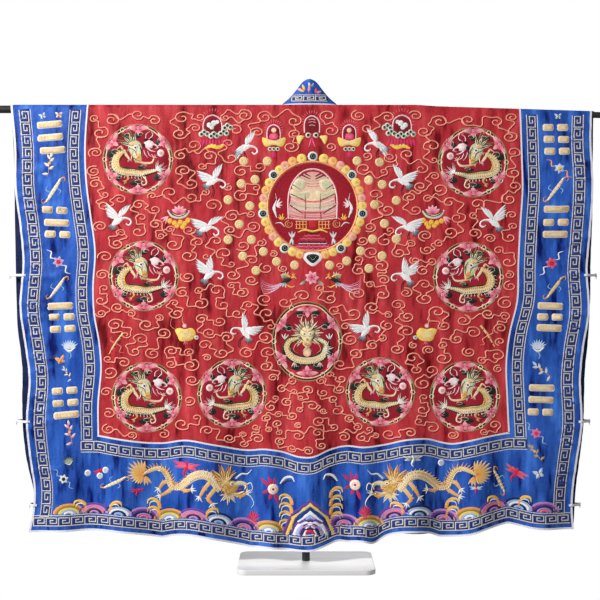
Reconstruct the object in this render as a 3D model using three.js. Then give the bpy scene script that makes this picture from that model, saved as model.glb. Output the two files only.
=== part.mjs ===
// A Taoist priest's ceremonial robe of satin, spread open and hung over the crossbar of a
// T-shaped display stand, with the back of the robe towards -Y. Millimetres, +Z up. The origin
// is on the floor, midway between the ends of the crossbar and under its axis.

import * as THREE from 'three';

// Stand
const BASE_WIDTH = 420;
const BASE_DEPTH = 300;
const BASE_THICKNESS = 15;
const BASE_CORNER = 30;
const BASE_EDGE = 2;
const POST_RADIUS = 12;
const BAR_RADIUS = 12;
const BAR_HEIGHT = 1422.5;
const BAR_HALF_LENGTH = 960;
const EXTENSION_RADIUS = 9.6;
const EXTENSION_START = 304;
const DROOP_START = 340;
const SPIGOT_LENGTH = 60;
const EXTENSION_DROOP = 0.031;
const TUBE_SIDES = 24;
const SEAT_GAP = 0.3;

// Cloth
const CLOTH_THICKNESS = 2;
const PIPING_THICKNESS = 3;
const SEAM_GAP = 0.3;
const BAR_CLEARANCE = 0.4;
const HANG_DEPTH = 13.6;
const HANG_REACH = 40;
const THINNING_REACH = 80;
const OVER_BAR_LENGTH = 21;
const PIPING_WIDTH = 5;
const BINDING_WIDTH = 6;
const CENTRE_BACK = -3;
const BACK = -1;
const FRONT = 1;

// Neck and the two bands of the front opening
const NECK_X = 11;
const OPENING_WIDTH = 10;
const BAND_WIDTH = 82;
const COLLAR_HEIGHT = 80;
const COLLAR_PIPING_HEIGHT = 4;
const COLLAR_LEAN = 3.4;

// Side ties. The gap is counted from the smooth surface, and differs because the flat facets of
// the wall lie a little above or below it.
const TIES = [
  { height: 905, gap: 0.5 },
  { height: 450, gap: -0.3 },
  { height: 190, gap: 1.2 },
];
const TIE_LAP = 12;
const TIE_BULGE = 12;
const TIE_HALF_THICKNESS = 1;
const TIE_HALF_HEIGHT = 4;
const KNOT_HALF_THICKNESS = 4.2;
const KNOT_HALF_HEIGHT = 6.5;
const TIE_SIDES = 8;

// Outlines. Side edges and side seams are [height, x] rows, from the hem up. 'corner' marks a
// row where the line turns sharply.
const BACK_LEFT_EDGE = [
  [112, -854], [170, -843], [239, -840], [332, -852], [440, -862], [595, -856], [688, -868],
  [797, -882], [946, -874], [1060, -884], [1169, -897], [1293, -899], [1435, -913],
];
const BACK_RIGHT_EDGE = [
  [124, 825], [170, 822], [239, 825], [332, 837], [440, 851], [586, 848], [673, 856],
  [790, 873], [927, 868], [1014, 876], [1169, 885], [1339, 880], [1420, 884],
];
const FRONT_LEFT_EDGE = [
  [115, -846], [223, -851], [332, -876], [425, -888], [518, -890], [611, -888], [673, -894],
  [735, -903], [828, -908], [1014, -910], [1138, -913], [1293, -916], [1435, -922],
];
const FRONT_RIGHT_EDGE = [
  [124, 839], [239, 845], [332, 858], [440, 871], [518, 872], [611, 874], [704, 884],
  [828, 892], [952, 892], [1138, 899], [1420, 899],
];
const LEFT_SEAM = [
  [112, -710], [239, -708], [316, -701], [360, -682], [406, -645, 'corner'], [502, -646],
  [626, -637], [688, -642], [790, -659], [859, -662], [983, -656], [1091, -670], [1184, -682],
  [1293, -687], [1435, -679],
];
const RIGHT_SEAM = [
  [124, 685], [239, 682], [332, 676], [372, 660], [415, 631, 'corner'], [518, 626], [642, 623],
  [719, 632], [828, 657], [936, 660], [1060, 666], [1169, 673], [1293, 670], [1423, 666],
];

// Hems and the seams above them are [x, height] rows.
const BACK_HEM = [
  [-849, 113], [-747, 115], [-651, 118], [-546, 110], [-484, 101], [-446, 95, 'corner'],
  [-406, 102], [-356, 104], [-282, 93], [-205, 74], [-170, 65, 'corner'], [-127, 65], [-19, 57],
  [19, 59], [59, 71], [99, 84], [130, 81], [174, 84], [214, 79], [242, 96], [291, 112],
  [338, 115], [384, 110], [415, 98, 'corner'], [453, 99], [508, 107], [552, 121],
  [628, 140, 'corner'], [694, 126], [825, 122],
];
const BACK_HEM_SEAM = [
  [-645, 406], [-580, 395], [-474, 383], [-443, 383], [-378, 392], [-282, 378], [-170, 361],
  [-136, 364], [-81, 358], [-19, 341], [19, 341], [74, 363], [124, 374], [177, 370], [245, 378],
  [313, 394], [384, 395], [418, 386], [446, 381], [508, 391], [552, 401], [631, 415],
];
const FRONT_HEM = [
  [-849, 121], [-484, 118], [-19, 80], [242, 95], [276, 96], [415, 96], [552, 128], [628, 150],
  [825, 128],
];
const FRONT_HEM_SEAM = [
  [-645, 406], [-420, 398], [-100, 362], [0, 352], [100, 358], [300, 388], [450, 392], [631, 415],
];
const LEFT_CORNER_HEIGHT = 406;
const RIGHT_CORNER_HEIGHT = 415;

// Half the width of the standing neckband at each height above the shoulder line
const COLLAR_PROFILE = [[0, 90], [24, 61], [38, 49], [54, 36], [68, 25], [76, 16], [80, 8]];

// Folds that fall from the body to the hem and open outwards: x at the hem, half width, depth at
// the hem, and the height where the fold starts
const BACK_FOLDS = [
  { x: -756, halfWidth: 85, depth: 16, top: 518 },
  { x: -570, halfWidth: 112, depth: 22, top: 700 },
  { x: -307, halfWidth: 130, depth: 36, top: 850 },
  { x: -105, halfWidth: 62, depth: 24, top: 560 },
  { x: 15, halfWidth: 100, depth: 34, top: 760 },
  { x: 180, halfWidth: 50, depth: 22, top: 500 },
  { x: 329, halfWidth: 90, depth: 36, top: 780 },
  { x: 527, halfWidth: 96, depth: 32, top: 720 },
  { x: 729, halfWidth: 93, depth: 24, top: 650 },
];
const FRONT_FOLDS = [
  { x: -650, halfWidth: 120, depth: 28, top: 800 },
  { x: -430, halfWidth: 100, depth: 36, top: 700 },
  { x: -240, halfWidth: 85, depth: 26, top: 620 },
  { x: 240, halfWidth: 90, depth: 30, top: 640 },
  { x: 440, halfWidth: 105, depth: 36, top: 820 },
  { x: 680, halfWidth: 115, depth: 28, top: 700 },
];
const FOLD_FOOT = 100;
const FOLD_FADE = 1.3;
const FOLD_LIMIT = 1.1;
const FLUTTER_DEPTH = 9;
const FLUTTER_PERIOD = 390;
const FLUTTER_START = 700;
const FLUTTER_FULL = 900;

// Grid steps of the cloth walls
const STEPS = {
  groundHalf: 20,
  sideBorder: 3,
  frontGround: 14,
  band: 2,
  hemRise: 5,
  body: 13,
  overBar: 4,
  collarRise: 5,
  collarHalfWidth: 6,
};

const { clamp, lerp, smoothstep } = THREE.MathUtils;

// A smooth curve through a table of [position, value] rows, held level past both ends
function curveThrough(rows) {
  const slope = (k) => (rows[k + 1][1] - rows[k][1]) / (rows[k + 1][0] - rows[k][0]);
  const tangent = (k, side) => {
    if (k === 0) return slope(0);
    if (k === rows.length - 1) return slope(k - 1);
    if (rows[k][2] === 'corner') return side === 'before' ? slope(k - 1) : slope(k);
    const before = rows[k][0] - rows[k - 1][0];
    const after = rows[k + 1][0] - rows[k][0];
    return (slope(k - 1) * after + slope(k) * before) / (before + after);
  };
  return (position) => {
    const place = clamp(position, rows[0][0], rows.at(-1)[0]);
    let k = 0;
    while (k < rows.length - 2 && place > rows[k + 1][0]) k += 1;
    const span = rows[k + 1][0] - rows[k][0];
    const t = (place - rows[k][0]) / span;
    const startPull = t * (1 - t) * (1 - t) * span * tangent(k, 'after');
    const endPull = t * t * (t - 1) * span * tangent(k + 1, 'before');
    const blend = t * t * (3 - 2 * t);
    return lerp(rows[k][1], rows[k + 1][1], blend) + startPull + endPull;
  };
}

const backLeftEdge = curveThrough(BACK_LEFT_EDGE);
const backRightEdge = curveThrough(BACK_RIGHT_EDGE);
const frontLeftEdge = curveThrough(FRONT_LEFT_EDGE);
const frontRightEdge = curveThrough(FRONT_RIGHT_EDGE);
const leftSeam = curveThrough(LEFT_SEAM);
const rightSeam = curveThrough(RIGHT_SEAM);
const backHem = curveThrough(BACK_HEM);
const backHemSeam = curveThrough(BACK_HEM_SEAM);
const frontHem = curveThrough(FRONT_HEM);
const frontHemSeam = curveThrough(FRONT_HEM_SEAM);
const collarHalfWidth = curveThrough(COLLAR_PROFILE);

// The crossbar is level over its main tube. The thinner extension droops from there to its end.
function barHeight(x) {
  return BAR_HEIGHT - Math.max(0, x - DROOP_START) * EXTENSION_DROOP;
}

function clothRadius(x) {
  const thinning = smoothstep(x, DROOP_START, DROOP_START + THINNING_REACH);
  return lerp(BAR_RADIUS, EXTENSION_RADIUS, thinning) + BAR_CLEARANCE;
}

// How far the inner face of a panel hangs from the plane of the crossbar
function panelDepth(side, x, height) {
  const fall = smoothstep(barHeight(x) - height, 0, HANG_REACH);
  let depth = lerp(clothRadius(x), HANG_DEPTH, fall);
  for (const fold of side === BACK ? BACK_FOLDS : FRONT_FOLDS) {
    const across = Math.min(Math.abs(x - fold.x) / fold.halfWidth, 1);
    const down = clamp((fold.top - height) / (fold.top - FOLD_FOOT), 0, FOLD_LIMIT);
    depth += fold.depth * down ** FOLD_FADE * 0.5 * (1 + Math.cos(Math.PI * across));
  }
  const edgeShare = smoothstep(Math.abs(x), FLUTTER_START, FLUTTER_FULL);
  const wave = 0.5 - 0.5 * Math.cos((2 * Math.PI * (barHeight(x) - height)) / FLUTTER_PERIOD);
  return depth + FLUTTER_DEPTH * edgeShare * wave * fall;
}

// A point of a panel, offset outwards from its inner face. Above the axis of the bar the height
// counts along the quarter turn of cloth that lies over the bar.
function panelPoint(side, x, height, offset) {
  const axis = barHeight(x);
  if (height <= axis) {
    return new THREE.Vector3(x, side * (panelDepth(side, x, height) + offset), height);
  }
  const angle = (Math.min((height - axis) / OVER_BAR_LENGTH, 1) * Math.PI) / 2;
  const radius = clothRadius(x) + offset;
  const out = Math.max(radius * Math.cos(angle), SEAM_GAP / 2);
  return new THREE.Vector3(x, side * out, axis + radius * Math.sin(angle));
}

// The front bands rise past the bar and lean back towards the neckband behind them.
function bandDepthAboveBar(x, height) {
  const rise = height - shoulderHeight(x);
  return clothRadius(x) - COLLAR_LEAN * smoothstep(rise, 0, COLLAR_HEIGHT);
}

function bandPoint(side, x, height, offset) {
  if (height <= barHeight(x)) return panelPoint(side, x, height, offset);
  return new THREE.Vector3(x, bandDepthAboveBar(x, height) + offset, height);
}

function shoulderHeight(x) {
  return barHeight(x) + clothRadius(x) + CLOTH_THICKNESS;
}

// Rails are functions with the number of steps to the next rail. Each line of the grid lies at a
// share of the way between two rails, and only the outermost lines are shifted off their rails,
// so that the pieces on both sides of a seam bend at the same places.
function gridLines(rails, startShift = 0, endShift = 0) {
  const lines = [];
  for (let k = 0; k < rails.length - 1; k += 1) {
    const { at: from, steps } = rails[k];
    const to = rails[k + 1].at;
    for (let step = 0; step < steps; step += 1) {
      lines.push({ from, to, share: step / steps, shift: 0 });
    }
  }
  const last = rails.at(-1).at;
  lines.push({ from: last, to: last, share: 0, shift: endShift });
  lines[0].shift = startShift;
  return lines;
}

// Where a line across meets a line up: x depends on the height and the height on x, so the pair
// is settled in a few rounds.
function crossing(station, level) {
  let height = lerp(level.from(0), level.to(0), level.share);
  let x = 0;
  for (let round = 0; round < 8; round += 1) {
    x = lerp(station.from(height), station.to(height), station.share) + station.shift;
    height = lerp(level.from(x), level.to(x), level.share) + level.shift;
  }
  return { x, height };
}

// A closed wall from two grids of points with the same steps: columns run along +X and rows run
// up. The outer face looks towards -Y on the back and +Y on the front.
function wallGeometry(outer, inner, side) {
  const columns = outer.length;
  const rows = outer[0].length;
  const positions = [...outer.flat(), ...inner.flat()].flatMap((point) => point.toArray());
  const out = (i, j) => i * rows + j;
  const inn = (i, j) => columns * rows + i * rows + j;
  const faces = [];
  const quad = (a, b, c, d) => faces.push([a, b, c], [a, c, d]);
  for (let i = 0; i < columns - 1; i += 1) {
    for (let j = 0; j < rows - 1; j += 1) {
      quad(out(i, j), out(i + 1, j), out(i + 1, j + 1), out(i, j + 1));
      quad(inn(i, j), inn(i, j + 1), inn(i + 1, j + 1), inn(i + 1, j));
    }
    const top = rows - 1;
    quad(inn(i, 0), inn(i + 1, 0), out(i + 1, 0), out(i, 0));
    quad(inn(i, top), out(i, top), out(i + 1, top), inn(i + 1, top));
  }
  for (let j = 0; j < rows - 1; j += 1) {
    const end = columns - 1;
    quad(inn(0, j), out(0, j), out(0, j + 1), inn(0, j + 1));
    quad(inn(end, j), inn(end, j + 1), out(end, j + 1), out(end, j));
  }
  if (side === FRONT) faces.forEach((face) => face.reverse());
  const geometry = new THREE.BufferGeometry();
  geometry.setAttribute('position', new THREE.Float32BufferAttribute(positions, 3));
  geometry.setIndex(faces.flat());
  geometry.computeVertexNormals();
  return geometry;
}

// A closed body through rings of points with the same count
function ringLoft(rings) {
  const sides = rings[0].length;
  const middle = (ring) => ring
    .reduce((sum, point) => sum.add(point), new THREE.Vector3())
    .divideScalar(sides);
  const points = [...rings.flat(), middle(rings[0]), middle(rings.at(-1))];
  const startHub = rings.length * sides;
  const last = (rings.length - 1) * sides;
  const faces = [];
  for (let s = 0; s < sides; s += 1) {
    const next = (s + 1) % sides;
    for (let r = 0; r < rings.length - 1; r += 1) {
      const low = r * sides;
      const high = low + sides;
      faces.push([low + s, low + next, high + next], [low + s, high + next, high + s]);
    }
    faces.push([startHub, next, s], [startHub + 1, last + s, last + next]);
  }
  const geometry = new THREE.BufferGeometry();
  const positions = points.flatMap((point) => point.toArray());
  geometry.setAttribute('position', new THREE.Float32BufferAttribute(positions, 3));
  geometry.setIndex(faces.flat());
  geometry.computeVertexNormals();
  return geometry;
}

function satin(color) {
  return new THREE.MeshStandardMaterial({ color, roughness: 0.5, metalness: 0 });
}

const FINISH = {
  redSatin: satin(0xa5142a),
  blueSatin: satin(0x1e3fae),
  whiteBinding: satin(0xe9e9ee),
  blackTube: new THREE.MeshStandardMaterial({ color: 0x111113, roughness: 0.4, metalness: 0.3 }),
  whiteBase: new THREE.MeshStandardMaterial({ color: 0xf2f2f2, roughness: 0.5, metalness: 0 }),
};

const robeAndStand = new THREE.Group();

function addMesh(name, geometry, material) {
  const mesh = new THREE.Mesh(geometry, material);
  mesh.name = name;
  robeAndStand.add(mesh);
  return mesh;
}

// A cloth wall between rails across and rails up. Shifts move its four edges off their rails.
function addCloth(name, side, material, stations, levels, options = {}) {
  const { left = 0, right = 0, foot = 0, head = 0 } = options;
  const { point = panelPoint, thickness = CLOTH_THICKNESS } = options;
  const columns = gridLines(stations, left, right);
  const rows = gridLines(levels, foot, head);
  const face = (offset) => columns.map((station) => rows.map((row) => {
    const { x, height } = crossing(station, row);
    return point(side, x, height, offset);
  }));
  addMesh(name, wallGeometry(face(thickness), face(0), side), material);
}

const rail = (at, steps = 0) => ({ at, steps });
const level = (height) => () => height;
const overBar = (x) => barHeight(x) + OVER_BAR_LENGTH;

// Levels of a piece that runs from the given foot up to the shoulder line
function levelsToShoulder(foot) {
  return [...foot, rail(barHeight, STEPS.overBar), rail(overBar)];
}

// From the middle of a seam to the edge of its piping, and to the edge of the piece beside it
const PIPING_EDGE = PIPING_WIDTH / 2 - SEAM_GAP / 2;
const BESIDE_PIPING = PIPING_WIDTH / 2 + SEAM_GAP / 2;
const HALF_GAP = SEAM_GAP / 2;

// Rails shared by the pieces of the back
const CENTRE_LINE = level(CENTRE_BACK);
const BACK_WIDTH = [
  rail(leftSeam, STEPS.groundHalf), rail(CENTRE_LINE, STEPS.groundHalf), rail(rightSeam),
];

// Levels of a side piece, from the hem past the lower corner of the ground to the shoulder
function sideLevels(hem, cornerHeight) {
  return levelsToShoulder([rail(hem, STEPS.hemRise), rail(level(cornerHeight), STEPS.body)]);
}

// Back: the red ground in two halves, joined down the middle
function buildBackGround() {
  const levels = levelsToShoulder([rail(backHemSeam, STEPS.body)]);
  addCloth('back_ground_left', BACK, FINISH.redSatin,
    [rail(leftSeam, STEPS.groundHalf), rail(CENTRE_LINE)], levels,
    { left: BESIDE_PIPING, right: -HALF_GAP, foot: BESIDE_PIPING });
  addCloth('back_ground_right', BACK, FINISH.redSatin,
    [rail(CENTRE_LINE, STEPS.groundHalf), rail(rightSeam)], levels,
    { left: HALF_GAP, right: -BESIDE_PIPING, foot: BESIDE_PIPING });
}

// Back: blue borders down both sides and along the hem, mitred at the lower corners of the red
function buildBackBorders() {
  addCloth('back_border_left', BACK, FINISH.blueSatin,
    [rail(backLeftEdge, STEPS.sideBorder), rail(leftSeam)],
    sideLevels(backHem, LEFT_CORNER_HEIGHT), { right: -BESIDE_PIPING });
  addCloth('back_border_right', BACK, FINISH.blueSatin,
    [rail(rightSeam, STEPS.sideBorder), rail(backRightEdge)],
    sideLevels(backHem, RIGHT_CORNER_HEIGHT), { left: BESIDE_PIPING });
  addCloth('back_border_hem', BACK, FINISH.blueSatin, BACK_WIDTH,
    [rail(backHem, STEPS.hemRise), rail(backHemSeam)],
    { left: -PIPING_EDGE, right: PIPING_EDGE, head: -BESIDE_PIPING });
}

// Back: white piping between the red ground and the borders
function buildBackPiping() {
  const levels = levelsToShoulder([rail(backHemSeam, STEPS.body)]);
  const narrow = { left: -PIPING_EDGE, right: PIPING_EDGE, thickness: PIPING_THICKNESS };
  for (const [name, seam] of [['left', leftSeam], ['right', rightSeam]]) {
    addCloth(`back_piping_${name}`, BACK, FINISH.whiteBinding, [rail(seam, 1), rail(seam)], levels,
      { ...narrow, foot: BESIDE_PIPING });
  }
  addCloth('back_piping_hem', BACK, FINISH.whiteBinding, BACK_WIDTH,
    [rail(backHemSeam, 1), rail(backHemSeam, 1), rail(backHemSeam)],
    { ...narrow, foot: -PIPING_EDGE, head: PIPING_EDGE });
}

// Back: white binding round the outer edge
function buildBackBinding() {
  const outside = BINDING_WIDTH + SEAM_GAP;
  const turn = rail(backHem, 1);
  addCloth('back_binding_left', BACK, FINISH.whiteBinding,
    [rail(backLeftEdge, 1), rail(backLeftEdge)],
    [turn, ...sideLevels(backHem, LEFT_CORNER_HEIGHT)],
    { left: -outside, right: -SEAM_GAP, foot: -outside });
  addCloth('back_binding_right', BACK, FINISH.whiteBinding,
    [rail(backRightEdge, 1), rail(backRightEdge)],
    [turn, ...sideLevels(backHem, RIGHT_CORNER_HEIGHT)],
    { left: SEAM_GAP, right: outside, foot: -outside });
  addCloth('back_binding_hem', BACK, FINISH.whiteBinding,
    [rail(backLeftEdge, STEPS.sideBorder), ...BACK_WIDTH.slice(0, 2),
      rail(rightSeam, STEPS.sideBorder), rail(backRightEdge)],
    [rail(backHem, 1), rail(backHem)], { foot: -outside, head: -SEAM_GAP });
}

// Front: one panel on each side of the opening, with the same borders
function buildFrontPanels() {
  const bandEdge = OPENING_WIDTH / 2 + BAND_WIDTH;
  const groundLevels = levelsToShoulder([rail(frontHemSeam, STEPS.body)]);
  const hemLevels = [rail(frontHem, STEPS.hemRise), rail(frontHemSeam)];
  const edges = { left: HALF_GAP, right: -HALF_GAP };
  const panels = [
    ['left', [rail(leftSeam, STEPS.frontGround), rail(level(NECK_X - bandEdge))]],
    ['right', [rail(level(NECK_X + bandEdge), STEPS.frontGround), rail(rightSeam)]],
  ];
  for (const [name, stations] of panels) {
    addCloth(`front_ground_${name}`, FRONT, FINISH.redSatin, stations, groundLevels,
      { ...edges, foot: HALF_GAP });
    addCloth(`front_border_hem_${name}`, FRONT, FINISH.blueSatin, stations, hemLevels,
      { ...edges, head: -HALF_GAP });
  }
  addCloth('front_border_left', FRONT, FINISH.blueSatin,
    [rail(frontLeftEdge, STEPS.sideBorder), rail(leftSeam)],
    sideLevels(frontHem, LEFT_CORNER_HEIGHT), { right: -HALF_GAP });
  addCloth('front_border_right', FRONT, FINISH.blueSatin,
    [rail(rightSeam, STEPS.sideBorder), rail(frontRightEdge)],
    sideLevels(frontHem, RIGHT_CORNER_HEIGHT), { left: HALF_GAP });
}

// Front: the two bands of the opening, from the hem up past the bar to the tip of the collar
function buildFrontBands() {
  const outline = (height) => {
    const rise = height - shoulderHeight(NECK_X);
    const full = OPENING_WIDTH / 2 + BAND_WIDTH;
    return rise <= 0 ? full : Math.min(full, collarHalfWidth(rise));
  };
  const bandLevels = [
    rail(frontHem, STEPS.hemRise),
    rail(frontHemSeam, STEPS.body),
    rail(barHeight, 1),
    rail(shoulderHeight, STEPS.collarRise),
    rail((x) => shoulderHeight(x) + COLLAR_HEIGHT),
  ];
  const options = { point: bandPoint };
  addCloth('front_band_left', FRONT, FINISH.blueSatin, [
    rail((height) => NECK_X - outline(height), STEPS.band),
    rail(level(NECK_X - OPENING_WIDTH / 2)),
  ], bandLevels, options);
  addCloth('front_band_right', FRONT, FINISH.blueSatin, [
    rail(level(NECK_X + OPENING_WIDTH / 2), STEPS.band),
    rail((height) => NECK_X + outline(height)),
  ], bandLevels, options);
}

// The neckband stands on the shoulder line and curves forwards to meet the two front bands.
function collarPoint(across, rise, offset) {
  const height = shoulderHeight(NECK_X) + rise;
  const x = NECK_X + across * collarHalfWidth(rise);
  const sideDepth = bandDepthAboveBar(NECK_X, height) - SEAM_GAP;
  const depth = sideDepth * across * across;
  const nearest = Math.max(depth - PIPING_THICKNESS, 0);
  const top = clothRadius(NECK_X) + CLOTH_THICKNESS;
  const fallAway = top - Math.sqrt(top * top - nearest * nearest);
  const seat = height + SEAT_GAP - fallAway * (1 - rise / COLLAR_HEIGHT);
  return new THREE.Vector3(x, depth - offset, seat);
}

function addCollarStrip(name, material, fromRise, toRise, steps, thickness) {
  const face = (offset) => {
    const columns = [];
    for (let i = -STEPS.collarHalfWidth; i <= STEPS.collarHalfWidth; i += 1) {
      const column = [];
      for (let j = 0; j <= steps; j += 1) {
        const rise = lerp(fromRise, toRise, j / steps);
        column.push(collarPoint(i / STEPS.collarHalfWidth, rise, offset));
      }
      columns.push(column);
    }
    return columns;
  };
  addMesh(name, wallGeometry(face(thickness), face(0), BACK), material);
}

function buildCollar() {
  const bodyStart = COLLAR_PIPING_HEIGHT + SEAM_GAP;
  addCollarStrip('collar_piping', FINISH.whiteBinding, 0, COLLAR_PIPING_HEIGHT, 1, PIPING_THICKNESS);
  addCollarStrip('collar', FINISH.blueSatin, bodyStart, COLLAR_HEIGHT, STEPS.collarRise,
    CLOTH_THICKNESS);
}

// A knotted tie: a flat cord sewn to the outer face of the back, round the side to the outer face
// of the front, with a knot halfway
function addTie(name, outwards, backEdge, frontEdge, { height, gap }) {
  const lying = (side, edge, beyond) => {
    const x = edge + outwards * beyond;
    const lift = CLOTH_THICKNESS + gap + TIE_HALF_THICKNESS;
    return new THREE.Vector3(x, side * (panelDepth(side, x, height) + lift), height);
  };
  const far = Math.max(outwards * backEdge, outwards * frontEdge) + TIE_BULGE;
  const path = new THREE.CatmullRomCurve3([
    lying(BACK, backEdge, -TIE_LAP),
    lying(BACK, backEdge, 1),
    new THREE.Vector3(outwards * far, 0, height),
    lying(FRONT, frontEdge, 1),
    lying(FRONT, frontEdge, -TIE_LAP),
  ]);
  const knot = [
    { at: 0, swell: 0 }, { at: 0.12, swell: 0 }, { at: 0.25, swell: 0 }, { at: 0.38, swell: 0.2 },
    { at: 0.44, swell: 0.8 }, { at: 0.5, swell: 1 }, { at: 0.56, swell: 0.8 },
    { at: 0.62, swell: 0.2 }, { at: 0.75, swell: 0 }, { at: 0.88, swell: 0 }, { at: 1, swell: 0 },
  ];
  const rings = knot.map(({ at, swell }) => {
    const centre = path.getPoint(at);
    const along = path.getTangent(at);
    const across = new THREE.Vector3(-along.y, along.x, 0).normalize();
    const halfThickness = lerp(TIE_HALF_THICKNESS, KNOT_HALF_THICKNESS, swell);
    const halfHeight = lerp(TIE_HALF_HEIGHT, KNOT_HALF_HEIGHT, swell);
    return Array.from({ length: TIE_SIDES }, (_, s) => {
      const turn = (2 * Math.PI * s) / TIE_SIDES;
      return centre.clone()
        .addScaledVector(across, halfThickness * Math.cos(turn))
        .add(new THREE.Vector3(0, 0, halfHeight * Math.sin(turn)));
    });
  });
  addMesh(name, ringLoft(rings), FINISH.whiteBinding);
}

function buildTies() {
  const binding = BINDING_WIDTH + SEAM_GAP;
  TIES.forEach((tie, index) => {
    const leftBack = backLeftEdge(tie.height) - binding;
    const rightBack = backRightEdge(tie.height) + binding;
    addTie(`tie_left_${index + 1}`, -1, leftBack, frontLeftEdge(tie.height), tie);
    addTie(`tie_right_${index + 1}`, 1, rightBack, frontRightEdge(tie.height), tie);
  });
}

// Stand: a tube with a bored end that takes the thinner, drooping extension
function buildCrossbar() {
  const boreRadius = EXTENSION_RADIUS + SEAT_GAP;
  const boreEnd = EXTENSION_START - SPIGOT_LENGTH;
  const profile = [
    new THREE.Vector2(0, -BAR_HALF_LENGTH),
    new THREE.Vector2(BAR_RADIUS, -BAR_HALF_LENGTH),
    new THREE.Vector2(BAR_RADIUS, EXTENSION_START),
    new THREE.Vector2(boreRadius, EXTENSION_START),
    new THREE.Vector2(boreRadius, boreEnd),
    new THREE.Vector2(0, boreEnd),
  ];
  const tube = addMesh('crossbar', new THREE.LatheGeometry(profile, TUBE_SIDES), FINISH.blackTube);
  tube.rotation.z = -Math.PI / 2;
  tube.position.z = BAR_HEIGHT;

  const rings = [boreEnd + SEAT_GAP, DROOP_START, BAR_HALF_LENGTH].map((x) => (
    Array.from({ length: TUBE_SIDES }, (_, s) => {
      const turn = (2 * Math.PI * s) / TUBE_SIDES;
      const y = EXTENSION_RADIUS * Math.cos(turn);
      const z = barHeight(x) + EXTENSION_RADIUS * Math.sin(turn);
      return new THREE.Vector3(x, y, z);
    })
  ));
  addMesh('crossbar_extension', ringLoft(rings), FINISH.blackTube);
}

function buildPostAndBase() {
  const foot = BASE_THICKNESS + SEAT_GAP;
  const head = BAR_HEIGHT - BAR_RADIUS - SEAT_GAP;
  const shaft = new THREE.CylinderGeometry(POST_RADIUS, POST_RADIUS, head - foot, TUBE_SIDES);
  const post = addMesh('post', shaft, FINISH.blackTube);
  post.rotation.x = Math.PI / 2;
  post.position.z = (head + foot) / 2;

  const halfWidth = BASE_WIDTH / 2 - BASE_EDGE;
  const halfDepth = BASE_DEPTH / 2 - BASE_EDGE;
  const outline = new THREE.Shape();
  outline.moveTo(-halfWidth + BASE_CORNER, -halfDepth);
  outline.lineTo(halfWidth - BASE_CORNER, -halfDepth);
  outline.absarc(halfWidth - BASE_CORNER, -halfDepth + BASE_CORNER, BASE_CORNER, -Math.PI / 2, 0);
  outline.lineTo(halfWidth, halfDepth - BASE_CORNER);
  outline.absarc(halfWidth - BASE_CORNER, halfDepth - BASE_CORNER, BASE_CORNER, 0, Math.PI / 2);
  outline.lineTo(-halfWidth + BASE_CORNER, halfDepth);
  outline.absarc(-halfWidth + BASE_CORNER, halfDepth - BASE_CORNER, BASE_CORNER,
    Math.PI / 2, Math.PI);
  outline.lineTo(-halfWidth, -halfDepth + BASE_CORNER);
  outline.absarc(-halfWidth + BASE_CORNER, -halfDepth + BASE_CORNER, BASE_CORNER,
    Math.PI, (3 * Math.PI) / 2);
  const slab = new THREE.ExtrudeGeometry(outline, {
    depth: BASE_THICKNESS - 2 * BASE_EDGE,
    bevelSize: BASE_EDGE,
    bevelThickness: BASE_EDGE,
    bevelSegments: 2,
    curveSegments: 8,
  });
  addMesh('base', slab, FINISH.whiteBase).position.z = BASE_EDGE;
}

buildPostAndBase();
buildCrossbar();
buildBackGround();
buildBackBorders();
buildBackPiping();
buildBackBinding();
buildFrontPanels();
buildFrontBands();
buildCollar();
buildTies();

export default robeAndStand;
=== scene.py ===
"""Taoist priest's robe of embroidered satin, hung open over the crossbar of a display stand."""

import math
import random

import bpy
import numpy as np
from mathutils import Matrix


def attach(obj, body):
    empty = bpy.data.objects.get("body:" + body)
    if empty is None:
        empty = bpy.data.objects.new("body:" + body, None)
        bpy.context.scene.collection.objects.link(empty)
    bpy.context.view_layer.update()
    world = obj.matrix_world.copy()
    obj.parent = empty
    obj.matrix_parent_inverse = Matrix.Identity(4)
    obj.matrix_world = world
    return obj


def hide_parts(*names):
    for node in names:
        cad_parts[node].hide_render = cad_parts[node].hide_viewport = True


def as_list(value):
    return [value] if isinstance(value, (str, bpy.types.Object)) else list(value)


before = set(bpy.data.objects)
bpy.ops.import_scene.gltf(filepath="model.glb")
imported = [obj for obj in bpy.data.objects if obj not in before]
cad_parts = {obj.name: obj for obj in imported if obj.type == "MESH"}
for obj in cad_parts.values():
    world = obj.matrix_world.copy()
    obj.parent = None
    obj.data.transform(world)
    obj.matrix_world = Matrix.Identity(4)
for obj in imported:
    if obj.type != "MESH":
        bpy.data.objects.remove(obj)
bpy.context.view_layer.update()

# The camera looks level at the back of the robe from four metres, against plain white, and a
# window light falls on it from the upper left.
CAMERA_PLACE = (-0.0186, -4.025, 0.8277)
CAMERA_LENS = 77.4

camera_data = bpy.data.cameras.new("view")
camera_data.lens = CAMERA_LENS
camera_data.sensor_width = 36
camera = bpy.data.objects.new("view", camera_data)
camera.location = CAMERA_PLACE
camera.rotation_euler = (math.radians(90), 0, 0)
bpy.context.scene.collection.objects.link(camera)
bpy.context.scene.camera = camera


def area_light(name, place, aim, size, power):
    light = bpy.data.lights.new(name, "AREA")
    light.shape = "DISK"
    light.size = size
    light.energy = power
    lamp = bpy.data.objects.new(name, light)
    lamp.location = place
    away = np.subtract(place, aim)
    flat = math.hypot(away[0], away[1])
    lamp.rotation_euler = (math.atan2(flat, away[2]), 0, math.atan2(away[0], -away[1]))
    bpy.context.scene.collection.objects.link(lamp)


area_light("window", (-3.7, -2.5, 2.9), (0, 0, 0.8), 0.8, 300)
area_light("fill", (2.6, -4.2, 1.6), (0, 0, 0.8), 2.4, 14)
area_light("rear", (0.5, 4.0, 2.6), (0, 0, 0.8), 2.4, 70)

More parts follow.
